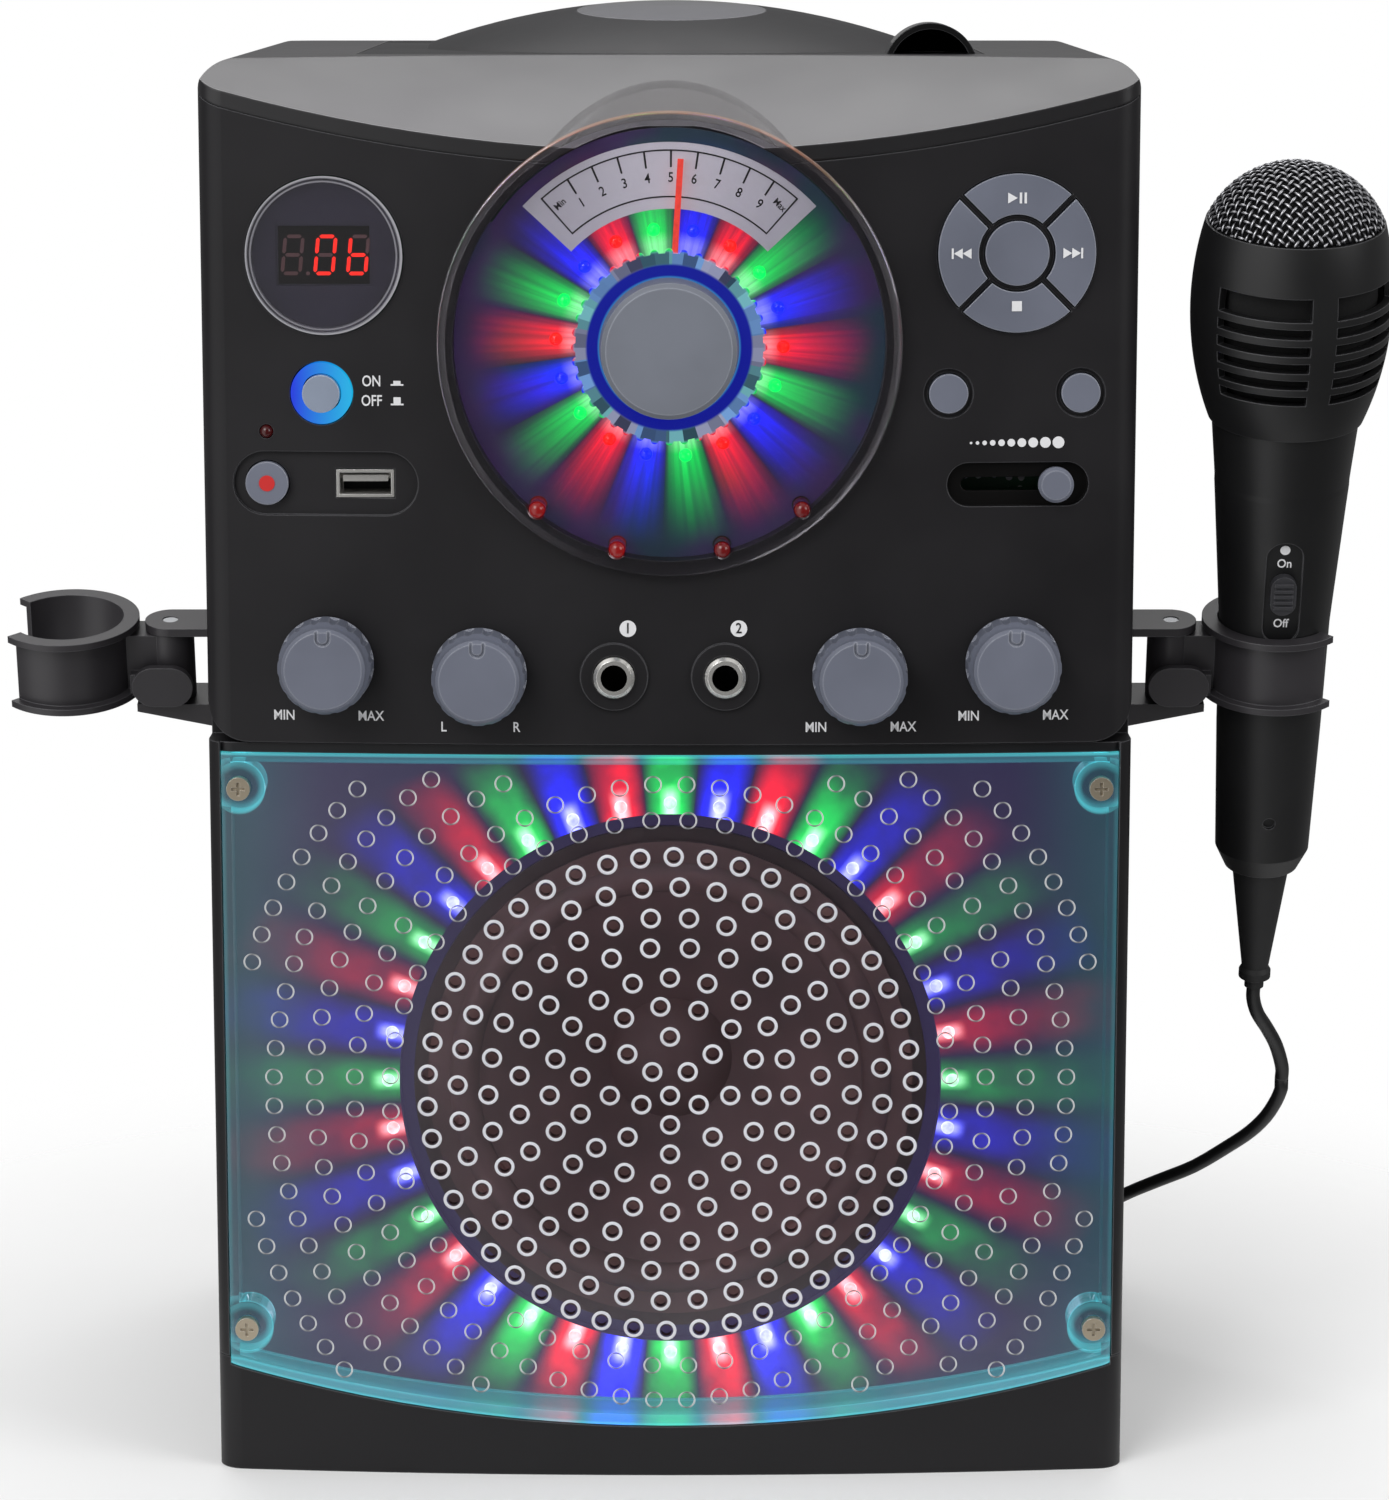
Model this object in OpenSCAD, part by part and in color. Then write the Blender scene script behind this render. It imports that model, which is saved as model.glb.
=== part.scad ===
// Tabletop karaoke machine with a top-loading disc lid, a round lit dial, a
// speaker behind a clear perforated cover, and a microphone in a side holder.
// The origin is the middle of the base on the table. The front faces -Y.

/* [Cabinet] */
// Width over the side walls
body_w = 235; // [228:1:260]
// Depth from the ends of the front face to the back wall
body_d = 200; // [195:1:230]
// Height of the flat deck
deck_z = 363; // [360:1:380]
// How far the middle of the front bulges forward of its ends
front_bow = 6; // [3:0.5:9]
// Thickness of the case walls
wall = 3; // [2.4:0.1:3.6]
// Thickness of the top deck
deck_t = 4; // [3:0.1:4.5]
// Height of the base tray's walls
base_h = 30; // [30:1:36]
// Radius of the front vertical corners
front_r = 7; // [6:0.5:9]
// Radius of the rear vertical corners
back_r = 16; // [10:1:24]
// Radius where the sides roll into the deck
crown_r = 8; // [6:0.5:12]
// Seam left between case mouldings
seam = 0.2; // [0.1:0.05:0.4]

/* [Front slope] */
// Height of the fascia's top edge at the middle
scoop_low_z = 341; // [338:0.5:344]
// Angle at which the slope rises to the deck
scoop_a = 21.5; // [19:0.5:24]
// Radius of the hollow across the slope
scoop_r = 540; // [480:10:700]

/* [Fascia] */
// Height of the fascia's lower edge
fascia_z = 192; // [191:0.5:194]
// Depth of the fascia's side returns
fascia_d = 14; // [12:0.5:18]
// Radius of the fascia's lower corners
fascia_r = 11; // [8:0.5:14]

/* [Dial] */
// Height of the dial's centre
dial_z = 292.9; // [291:0.1:294]
// Radius of the dial lens
dial_r = 57.5; // [56:0.5:59]
// How far the lens stands forward of the fascia
dial_proud = 2.5; // [2:0.1:3.5]
// Thickness of the lens
dial_lens_t = 2.2; // [1.6:0.1:2.4]
// How far the needle tip reaches from the centre
needle_reach = 46; // [40:1:49]
// Rest angle of the needle, clockwise from the top
needle_rest_a = 3.5; // [-20:0.5:20]
// Radius of the master volume cap
volume_r = 16.75; // [15:0.25:18]
// Radius of the clear skirt under the volume cap
skirt_r = 24.3; // [22:0.1:26]
// Depth of the volume cap
volume_h = 11.5; // [9:0.5:14]
// Module of the needle gears
gear_m = 0.8; // [0.8:0.01:0.84]

/* [Knobs] */
// Radius of a rotary knob's scalloped skirt
knob_r = 12; // [11:0.1:13]
// Radius of a rotary knob's cap
knob_cap_r = 10.45; // [9.5:0.05:10.8]
// Depth of a rotary knob
knob_h = 13; // [11:0.5:15]
// Radius of a control shaft
shaft_r = 3; // [2.8:0.05:3.2]
// Running clearance of shafts and pins
run_gap = 0.05; // [0.02:0.01:0.09]

/* [Left controls] */
// Height of the display's centre
display_z = 315; // [313:0.5:317]
// Radius of the display and of the transport cluster
cluster_r = 19.7; // [18:0.1:20]
// Radius of the power button
power_r = 4.7; // [4:0.1:5]
// Radius of the lit ring round the power button
power_ring_r = 7.7; // [7.2:0.1:8.4]
// Height of the power button
power_z = 280.7; // [279:0.5:282]
// Height of the record button and the socket beside it
record_z = 258; // [256:0.5:260]
// Radius of the record button
record_r = 5.4; // [4.5:0.1:6]

/* [Right controls] */
// Radius of the middle transport button
middle_r = 8; // [7:0.1:8.6]
// Width of the fascia spokes between transport buttons
spoke = 1.6; // [1.2:0.1:2.4]
// Radius of a function button
function_r = 4.9; // [4:0.1:5.4]
// Half the length of the slider's recess
slider_half = 17.8; // [16:0.1:19]
// Radius of the slider's knob
slider_r = 4.45; // [4:0.05:4.8]

/* [Lower front] */
// Height of the clear cover's top edge
cover_top_z = 189; // [187:0.5:189]
// Margin between the case's sides and the clear cover's
cover_margin = 3.5; // [3.5:0.5:5.5]
// Thickness of the clear cover
cover_t = 2.4; // [2:0.1:2.8]
// Height of the base's front lip at the middle
smile_low_z = 13; // [12:0.5:15]
// Height of the base's front lip at its ends
smile_high_z = 28; // [25:0.5:29]
// Height of the speaker's centre
speaker_z = 101; // [100:0.5:102]
// Radius of the speaker opening in the reflector
speaker_open_r = 70; // [69:0.5:71]
// Radius of the speaker's flange
speaker_r = 66.5; // [62:0.5:68]
// Radius of the circle of show lights
ring_led_r = 73; // [72.5:0.1:74]
// Radius of a hole in the cover
cover_hole_r = 1.4; // [1:0.1:1.6]

/* [Disc lid] */
// Half width of the lid
lid_half = 81; // [78:0.5:83]
// Distance of the lid's front edge behind the middle
lid_front_y = -45; // [-46:0.5:-44]
// Radius of the lid's dome
dome_r = 66; // [64:0.5:66.5]
// Radius of the dome's curve
dome_rs = 197; // [190:1:205]
// Height of the dome's middle over the deck
dome_high = 11.9; // [11:0.1:12.5]
// Forward tilt of the dome
dome_tilt = 5; // [4:0.5:6]
// Radius of the window
window_r = 25.5; // [22:0.5:28]
// Distance of the disc's centre behind the middle of the case
disc_y = 12; // [11:0.5:13]
// Radius of the disc well
well_r = 61.5; // [60.5:0.1:62]

/* [Microphone holders] */
// Distance of a holder's pivot outside the side wall
pivot_out = 13.5; // [13:0.25:15]
// Distance from the pivot to the ring's centre
ring_reach = 27; // [26:0.5:29]
// Inner radius of the ring
ring_r = 14.75; // [14.6:0.05:15]
// Thickness of the ring's wall
ring_t = 1.7; // [1.4:0.1:2]
// Height of the ring
ring_h = 20; // [18:0.5:22]
// Forward lean of the holders
lean_a = 15; // [12:0.5:16]
// Height of the ring's centre
ring_z = 207.7; // [206:0.5:210]
// Distance of the pivots in front of the middle
pivot_y = -53; // [-54:0.5:-50]

/* [Microphone] */
// Radius of the head at its widest
head_r = 25.6; // [24.4:0.2:26]
// Radius at the collar under the head
collar_r = 19.5; // [18:0.5:20]
// Radius of the handle's lower end
tail_r = 12.4; // [11.5:0.1:13]
// Distance from the ring's centre down to the handle's end
handle_low = 61.4; // [58:0.5:64]

/* [Microphone cord] */
// Diameter of the cord
cord_d = 3.8; // [3.4:0.1:4]
// Radius of the coil's innermost turn
coil_r = 17; // [15:0.5:18]
// Distance between neighbouring turns of the coil
coil_pitch = 4.8; // [4.8:0.1:5]
// Height of the coil's first turn
coil_z = 2.2; // [2:0.1:3.5]

/* [Hidden] */
$fn = 48;
FINE = 360;
fit = 0.3;                     // gap between a piece and the opening it sits in
half_w = body_w / 2;
cover_half = half_w - cover_margin;
half_d = body_d / 2;
bow_r = (half_w * half_w + front_bow * front_bow) / (2 * front_bow);
nose_y = -half_d - front_bow;  // the front face at the middle
bow_y = nose_y + bow_r;
fascia_back_y = -half_d + fascia_d;
smile_r = (pow(cover_half, 2) + pow(smile_high_z - smile_low_z, 2))
    / (2 * (smile_high_z - smile_low_z));
floor_z = 3;                   // underside of the base plate, the rim's height
plate_t = 3;

// the control board, and the shafts and stems that end at it
board_y = -half_d + 20;
board_t = 1.6;
pot_d = 4.8;
pot_y = board_y - pot_d - 0.2;
switch_y = board_y - 4.2;

lens_front_y = nose_y - dial_proud;
plate_y = nose_y + 8;          // front of the dial's back plate
scale_t = 1.6;
needle_y = plate_y - 3;
stage_two_y = plate_y + scale_t + 0.4;
stage_one_y = stage_two_y + 4.6;
gear_w = 4;
pinion_n = 16;
wheel_n = 32;
small_n = 18;
hub_n = 30;
gear_reach = gear_m * (pinion_n + wheel_n) / 2;
dial_open_r = dial_r - 3.5;
led_a = 20;
dial_led_r = 28.5;

edge_x = half_w - 31;          // middle line of the control columns
display_x = edge_x - 0.5;
knob_xs = [-edge_x, -47.9, 47.9, edge_x];
knob_zs = [212.6, 210, 210, 212.6];
jack_x = 14;
jack_z = 209.5;
jack_r = 3.25;
transport_x = edge_x;
transport_z = display_z + 0.6;
function_xs = [edge_x - 16.8, edge_x + 16.4];
slider_x = edge_x + 0.8;
slider_knob_x = edge_x + 10.3;
record_x = -edge_x - 14.5;
usb_x = -edge_x + 10.2;
usb_w = 14.5;
usb_h = 7;
indicator_as = [-39, -14.5, 14.5, 39];
indicator_reach = 52.6;
record_light = [record_x, 271];
post_spots = [[-62, 335], [62, 335], [-edge_x - 20.5, 236], [edge_x + 20.5, 236]];

reflector_y = -half_d + 12;    // front of the reflector
reflector_t = 4;
baffle_t = 4;
led_n = 36;
cover_rings = [[7.7, 5, 36], [15.4, 8, 0], [23.4, 15, -6], [30.8, 20, 0], [38.8, 24, 7.5],
    [46.5, 30, 6], [54.4, 36, 2.6], [62.2, 46, 0.9]];
cover_screw_x = cover_half - 4.5;
cover_screw_zs = [38, 180];
boss_r = 6.5;

lid_back_y = half_d - 20;
lid_t = 2.4;
lid_rim_z = deck_z - deck_t + fit;
hinge_y = half_d - 15.5;
hinge_z = deck_z - 4;
hinge_r = 3.6;
hinge_pin_r = 1.2;
hinge_xs = [-60, 60];
lid_open_y = half_d - 11.5;    // back edge of the deck's opening
tray_top_z = deck_z - deck_t - 0.1;
well_z = deck_z - 14;          // floor of the disc well
well_t = 2;
under_z = well_z - well_t;
spindle_r = 1;
motor_r = 12;
sled_x = 24;
sled_half = 11;
rod_r = 1.5;
rod_off = 13;
rod_z = under_z - 6;
rack_n = 12;
rack_r = gear_m * rack_n / 2;
rack_y = disc_y + rod_off + 6;
rack_len = 36;
rack_gear_x = 47;
rack_gear_y = rack_y + rack_r + 0.1;
pull_w = 23;
pull_h = 8;

pivot_x = half_w + pivot_out;
ring_x = pivot_x + ring_reach;
lug_z = 7.2;
pivot_pin_r = 2;
mouth_a = 42;                  // half the angle of the ring's open side
handle_top_r = 17.35;          // the handle widens from its grip to its top
handle_grip_r = 14.45;
handle_top_z = 48.5;
handle_grip_z = 10;
switch_z = 22.8;
switch_tilt = atan((handle_top_r - handle_grip_r) / (handle_top_z - handle_grip_z));
switch_y_in = handle_grip_r + (switch_z - handle_grip_z) * tan(switch_tilt);

head_low = 66.6;
head_mid = 97;
head_top = 118.9;
// curve of the head's barrel, and the mesh cap on its rim
barrel_drop = head_r - collar_r - 0.4;
barrel_r = (pow(head_mid - head_low, 2) + barrel_drop * barrel_drop) / (2 * barrel_drop);
rim_r = head_r - barrel_r + sqrt(barrel_r * barrel_r - pow(head_top - head_mid, 2)) - 0.3;
mesh_sink = 9.8;
mesh_r = sqrt(rim_r * rim_r + mesh_sink * mesh_sink);
relief_low = handle_low + 37.2;
cord_start = [ring_x, pivot_y + relief_low * sin(lean_a), ring_z - relief_low * cos(lean_a)];
cord_drop_dir = [0, sin(lean_a), -cos(lean_a)];

// hand-set routes of the microphone cord
drop_points = [[159.4, -24.6, 104.2], [162.6, -21, 99], [165.6, -17.5, 93.4]];
join_point = [168, -12, 83];
join_dir = [0.05, 0.42, -0.9];
run_points = [[167.2, -8, 75.5], [164.8, -4.5, 70], [161, 0, 64.5], [155.5, 5, 59],
    [147, 12, 51.5], [138, 20, 45.3], [130, 30, 38.8], [125.5, 44, 31.5], [124, 60, 23.5],
    [123.5, 78, 15], [123.4, 94, 8.2], [123, 108, 3.6], [120, 120, 2.2], [112, 131, 2.2]];
tail_points = [[33, 142.5, 15], [22, 134.5, 10.6], [11, 128, 7.4]];
coil_spot = [66, 136];
coil_start_a = 45;
coil_layers = 4;
coil_turns = 2.5;              // spiral turns in one layer, before the half turn that climbs
coil_total = 3 * coil_layers - 0.75;
coil_out_r = coil_r + coil_turns * coil_pitch;
coil_rings = 24;
plug_spot = [-4, 125, 6.2];
plug_dir = [-1, 0, 0];
plug_r = 6;

// ---- shapes shared by the case mouldings ----

function front_y(x, inset = 0) = bow_y - sqrt(pow(bow_r - inset, 2) - x * x);

// Outline of the case seen from above, drawn in by inset.
module plan(inset = 0) {
    w = half_w - inset;
    back = half_d - inset;
    rb = back_r - inset;
    rf = front_r - inset;
    corner_x = w - rf;
    corner_y = bow_y - sqrt(pow(bow_r - inset - rf, 2) - corner_x * corner_x);
    touch_x = corner_x * (bow_r - inset) / (bow_r - inset - rf);
    difference() {
        intersection() {
            translate([-w, nose_y - 1]) square([2 * w, back - nose_y + 1]);
            translate([0, bow_y]) circle(r = bow_r - inset, $fn = 2 * FINE);
        }
        for (s = [0, 1]) mirror([s, 0]) {
            difference() {
                translate([w - rb, back - rb]) square(rb + 1);
                translate([w - rb, back - rb]) circle(r = rb);
            }
            difference() {
                translate([touch_x, nose_y - 1]) square([w, corner_y - nose_y + 1]);
                translate([corner_x, corner_y]) circle(r = rf);
            }
        }
    }
}

// Upright slab of the case's outline.
module slab(low, high, inset = 0) {
    translate([0, 0, low]) linear_extrude(high - low) plan(inset);
}

// Extrudes a front view between two distances along Y.
module prism_y(front, back) {
    translate([0, back, 0]) rotate([90, 0, 0]) linear_extrude(back - front) children();
}

// Round bar along Y.
module bar_y(x, z, r, front, back) {
    translate([x, front, z]) rotate([-90, 0, 0]) cylinder(r = r, h = back - front);
}

// Turned shape whose axis points to the viewer, from y.
module turned_y(x, y, z) {
    translate([x, y, z]) rotate([90, 0, 0]) rotate_extrude() children();
}

module stadium(long, high) {
    square([long - high, high], center = true);
    for (s = [-1, 1]) translate([s * (long - high) / 2, 0]) circle(d = high);
}

// Long hollow that slopes up from the fascia to the deck.
module scoop(grow = 0) {
    translate([0, nose_y - scoop_r * sin(scoop_a), scoop_low_z + scoop_r * cos(scoop_a)])
        rotate([scoop_a - 90, 0, 0])
            cylinder(r = scoop_r + grow, h = 4 * body_d, center = true, $fn = FINE);
}

// Everything below the deck's outer surface, lowered by drop.
module under_deck(drop = 0, grow = 0) {
    w = half_w + grow;
    top = deck_z + grow;
    r = crown_r + grow;
    translate([0, 0, -drop]) difference() {
        prism_y(-body_d, body_d) difference() {
            translate([-w, -50]) square([2 * w, top + 50]);
            for (s = [0, 1]) mirror([s, 0]) difference() {
                translate([w - r, top - r]) square(r + 1);
                translate([w - r, top - r]) circle(r = r);
            }
        }
        scoop(-grow);
    }
}

// ---- case ----

module smile_cut(grow = 0) {
    translate([0, 0, smile_low_z + smile_r])
        bar_y(0, 0, smile_r + grow, nose_y - 5, reflector_y + 1, $fn = FINE);
}

module base_tray() {
    color("#1d1c1e") {
        difference() {
            slab(0, base_h);
            translate([0, 0, floor_z + plate_t]) linear_extrude(base_h) intersection() {
                plan(wall);
                translate([-body_w, reflector_y - seam]) square([2 * body_w, 2 * body_d]);
            }
            translate([0, 0, -1]) linear_extrude(floor_z + 1) plan(wall + 1);
            difference() {
                smile_cut();
                for (s = [-1, 1]) translate([s * (half_w + cover_half) / 2, 0, 0])
                    cube([half_w - cover_half, 4 * body_d, 3 * base_h], center = true);
            }
            // vents
            for (i = [-5 : 5]) translate([i * 8 - 1.5, 40, 0]) cube([3, 34, base_h / 3]);
        }
    }
}

module rubber_feet() {
    color("#2a2a2a") for (x = [-1, 1], y = [-1, 1])
        translate([x * (half_w - 25), y * (half_d - 25), 0]) cylinder(r = 9, h = floor_z - 0.1);
}

socket_xs = [-62, -46, -30];
socket_z = 112;
inlet_x = 62;
inlet_z = 60;

module cabinet() {
    color("#232225") {
        difference() {
            intersection() {
                slab(base_h + seam, deck_z);
                under_deck(deck_t + seam);
            }
            slab(base_h - 1, deck_z, wall);
            translate([-body_w, nose_y - 1, fascia_z - fit])
                cube([2 * body_w, fascia_back_y + seam - nose_y + 1, deck_z]);
            translate([-cover_half - fit, nose_y - 1, 0])
                cube([2 * (cover_half + fit), reflector_y - nose_y, fascia_z - fit]);
            for (x = socket_xs) bar_y(x, socket_z, 4.6, half_d - 8, half_d + 1);
            translate([inlet_x, 0, inlet_z]) prism_y(half_d - 8, half_d + 1) stadium(18, 11);
            for (i = [0 : 7]) translate([-32, half_d - 8, 210 + i * 9]) cube([64, 9, 3]);
            for (x = [-1, 1], z = [50, 200, 320]) bar_y(x * 88, z, 1.7, half_d - 8, half_d + 1);
        }
        // rail between the cover and the fascia
        intersection() {
            slab(cover_top_z + seam, fascia_z - fit, 1.2);
            translate([-half_w + 1.5, -body_d, 0]) cube([body_w - 3, body_d - 78, deck_z]);
        }
        // posts for the main board
        for (x = [-80, 80], z = [98, 170]) bar_y(x, z, 3, half_d - 10, half_d - wall + 0.5);
        // ledges that carry the speaker baffle
        for (s = [-1, 1])
            translate([s * (half_w - wall - 2.5) - 3, reflector_y + reflector_t + baffle_t + 0.1, 50])
                cube([6, 8, 120]);
    }
}

module case_screws() {
    color("#8d8d90") {
        for (x = [-1, 1], z = [50, 200, 320]) {
            bar_y(x * 88, z, 1.4, half_d - 9, half_d + 1);
            bar_y(x * 88, z, 3, half_d + 0.1, half_d + 1.8);
        }
        for (x = [-1, 1], z = cover_screw_zs) {
            y = front_y(cover_screw_x);
            difference() {
                bar_y(x * cover_screw_x, z, 3, y - 1.5, y + 1.4);
                for (a = [0, 90]) translate([x * cover_screw_x, y - 1.5, z])
                    rotate([0, a, 0]) cube([3.4, 1.6, 0.8], center = true);
            }
            bar_y(x * cover_screw_x, z, 1.4, y + 1, reflector_y - 0.1);
        }
    }
}

module rear_sockets() {
    color("#c9c9cc") {
        for (x = socket_xs) difference() {
            union() {
                bar_y(x, socket_z, 4.15, half_d - 10, half_d + 8);
                translate([x - 5.5, half_d - 14.8, socket_z - 6]) cube([11, 11.4, 12]);
            }
            bar_y(x, socket_z, 1.6, half_d - 4, half_d + 9);
        }
        difference() {
            translate([inlet_x, 0, inlet_z]) {
                prism_y(half_d - 22, half_d + 0.2) stadium(17.4, 10.4);
                prism_y(half_d + 0.1, half_d + 1.6) stadium(24, 15);
            }
            translate([inlet_x, 0, inlet_z]) prism_y(half_d - 14, half_d + 2) stadium(14.4, 7.4);
        }
        for (s = [-1, 1]) bar_y(inlet_x + s * 3.5, inlet_z, 1.1, half_d - 16, half_d - 3);
    }
}

// ---- deck, lid and disc drive ----

module top_deck() {
    color("#4a494c") difference() {
        intersection() {
            slab(deck_z - 60, deck_z + 1);
            under_deck();
        }
        under_deck(deck_t);
        translate([-lid_half - 0.6, lid_front_y - 0.6, deck_z - 20])
            cube([2 * lid_half + 1.2, lid_open_y - lid_front_y + 0.6, 40]);
        bar_y(0, dial_z, dial_open_r, nose_y - 5, plate_y + 6);
    }
}

module disc_tray() {
    color("#2b2a2d") difference() {
        union() {
            translate([-88, lid_front_y - 4.5, tray_top_z - 2.9])
                cube([176, half_d - 8.5 - lid_front_y, 2.9]);
            translate([0, disc_y, under_z]) cylinder(r = well_r + 2, h = tray_top_z - under_z - 1);
            // ears of the lid hinge
            for (x = hinge_xs, s = [-1, 1]) translate([x + s * 6.6 - 2.2, hinge_y - 3, hinge_z - 3])
                cube([4.4, 6.5, 6]);
            // brackets for the guide rods
            for (x = [10.5, 78], s = [-1, 1]) translate([x - 1.5, disc_y + s * rod_off - 2.5, rod_z - 3])
                cube([3, 5, (x > 60 ? tray_top_z - 2 : under_z + 0.5) - rod_z + 3]);
            // posts for the sled's motor
            for (s = [-1, 1]) translate([rack_gear_x + s * 10, rack_gear_y, under_z - 11])
                cylinder(r = 2.5, h = 11.5);
        }
        translate([0, disc_y, well_z]) cylinder(r = well_r, h = 40, $fn = 96);
        translate([0, disc_y, under_z - 1]) cylinder(r = 3, h = 10);
        translate([sled_x - 6.5, disc_y - 7, under_z - 1]) cube([43.5, 14, 10]);
        for (x = hinge_xs) {
            translate([x - 4.3, hinge_y - 5, deck_z - 20]) cube([8.6, 9.5, 40]);
            translate([x - 10, hinge_y, hinge_z]) rotate([0, 90, 0])
                cylinder(r = hinge_pin_r + run_gap, h = 20);
        }
        for (s = [-1, 1]) translate([5, disc_y + s * rod_off, rod_z]) rotate([0, 90, 0])
            cylinder(r = rod_r + run_gap, h = 80);
    }
}

module dome_outline(inner, outer) {
    difference() {
        intersection() {
            translate([0, -dome_rs]) circle(r = dome_rs, $fn = 2 * FINE);
            translate([inner, -20]) square([outer - inner, 40]);
        }
        intersection() {
            translate([0, -dome_rs]) circle(r = dome_rs - 2, $fn = 2 * FINE);
            translate([inner - 1, -21]) square([dome_r - 1 - inner, 40]);
        }
    }
}

module dome_spot() {
    translate([0, disc_y, deck_z + dome_high]) rotate([dome_tilt, 0, 0]) children();
}

module disc_lid() {
    rim_x = lid_half;
    plate_z = deck_z - lid_t;
    color("#39383b") difference() {
        union() {
            translate([-rim_x, lid_front_y, lid_rim_z])
                cube([2 * rim_x, lid_back_y - lid_front_y, deck_z - lid_rim_z]);
            for (x = hinge_xs) {
                translate([x - 4, hinge_y, hinge_z]) rotate([0, 90, 0]) cylinder(r = hinge_r, h = 8);
                translate([x - 4, lid_back_y - 1, hinge_z + 1]) cube([8, hinge_y - lid_back_y + 1, 2.6]);
            }
            intersection() {
                dome_spot() rotate_extrude($fn = 96) dome_outline(window_r + 0.15, dome_r);
                union() {
                    translate([-body_w, lid_front_y, plate_z]) cube([2 * body_w, 2 * body_d, 60]);
                    translate([-body_w, -body_d, deck_z + fit]) cube([2 * body_w, 2 * body_d, 60]);
                }
            }
        }
        // hollow underside
        translate([-rim_x + 2, lid_front_y + 2, lid_rim_z - 1])
            cube([2 * rim_x - 4, lid_back_y - lid_front_y - 4, plate_z - lid_rim_z + 1]);
        // the dome is open to the well
        intersection() {
            dome_spot() rotate_extrude($fn = 96) intersection() {
                translate([0, -dome_rs]) circle(r = dome_rs - 2, $fn = 2 * FINE);
                translate([0, -40]) square([dome_r - 2, 60]);
            }
            translate([-body_w, -body_d, plate_z - 1]) cube([2 * body_w, 2 * body_d, 60]);
        }
        for (x = hinge_xs) translate([x - 5, hinge_y, hinge_z]) rotate([0, 90, 0])
            cylinder(r = hinge_pin_r + run_gap, h = 10);
    }
}

module lid_window() {
    color("#9fa4ad", 0.5) dome_spot() rotate_extrude($fn = 96) intersection() {
        dome_outline(-1, dome_r);
        translate([0, -20]) square([window_r, 40]);
    }
}

module lid_pull() {
    arch_r = (pow(pull_w / 2, 2) + pull_h * pull_h) / (2 * pull_h);
    color("#101012") translate([lid_half - pull_w / 2 - 2, lid_front_y + 0.2, deck_z + pull_h - arch_r])
        difference() {
            intersection() {
                union() {
                    rotate([-90, 0, 0]) cylinder(r = arch_r, h = 14);
                    translate([0, 14, 0]) sphere(r = arch_r);
                }
                translate([-50, -1, arch_r - pull_h + 0.05]) cube([100, 60, 60]);
            }
            intersection() {
                union() {
                    translate([0, -1, 0]) rotate([-90, 0, 0]) cylinder(r = arch_r - 1.6, h = 15);
                    translate([0, 14, 0]) sphere(r = arch_r - 1.6);
                }
                translate([-50, -2, arch_r - pull_h - 1]) cube([100, 60, 60]);
            }
        }
}

module steel_pins() {
    color("#b9bbc0") {
        for (x = hinge_xs) translate([x - 8.6, hinge_y, hinge_z]) rotate([0, 90, 0])
            cylinder(r = hinge_pin_r, h = 17.2);
        for (s = [-1, 1]) translate([9.2, disc_y + s * rod_off, rod_z]) rotate([0, 90, 0])
            cylinder(r = rod_r, h = 70);
        for (s = [0, 1]) mirror([s, 0, 0]) leaning() translate([0, 0, -14])
            cylinder(r = pivot_pin_r, h = 14 + lug_z + 2);
    }
}

module turntable() {
    color("#3c3c40") translate([0, disc_y, 0]) {
        translate([0, 0, well_z + 0.8]) cylinder(r = 17, h = 1.6);
        translate([0, 0, well_z + 2.3]) cylinder(r1 = 7.35, r2 = 7, h = 3.2);
        translate([0, 0, well_z + 5.4]) cylinder(r1 = 5.2, r2 = 3.4, h = 2);
        translate([0, 0, under_z - 12]) cylinder(r = spindle_r, h = well_z + 2 - under_z + 12);
    }
}

module drive_motors() {
    color("#a9abb0") {
        difference() {
            translate([0, disc_y, under_z - 18]) cylinder(r = motor_r, h = 17.8);
            translate([0, disc_y, under_z - 14]) cylinder(r = spindle_r + run_gap, h = 20);
        }
        translate([rack_gear_x, rack_gear_y, 0]) difference() {
            union() {
                translate([0, 0, under_z - 27]) cylinder(r = 7, h = 15);
                translate([0, 0, under_z - 12.7]) linear_extrude(1.5) stadium(26, 12);
            }
            translate([0, 0, under_z - 22]) cylinder(r = spindle_r + run_gap, h = 20);
        }
    }
}

// Outline of a spur gear with n teeth.
module gear(n, m = gear_m) {
    r = m * n / 2;
    circle(r = r - 1.2 * m);
    for (i = [0 : n - 1]) rotate(i * 360 / n) polygon([[r - 1.35 * m, -0.95 * m], [r, -0.7 * m],
        [r + 0.9 * m, -0.28 * m], [r + 0.9 * m, 0.28 * m], [r, 0.7 * m], [r - 1.35 * m, 0.95 * m]]);
}

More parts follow.
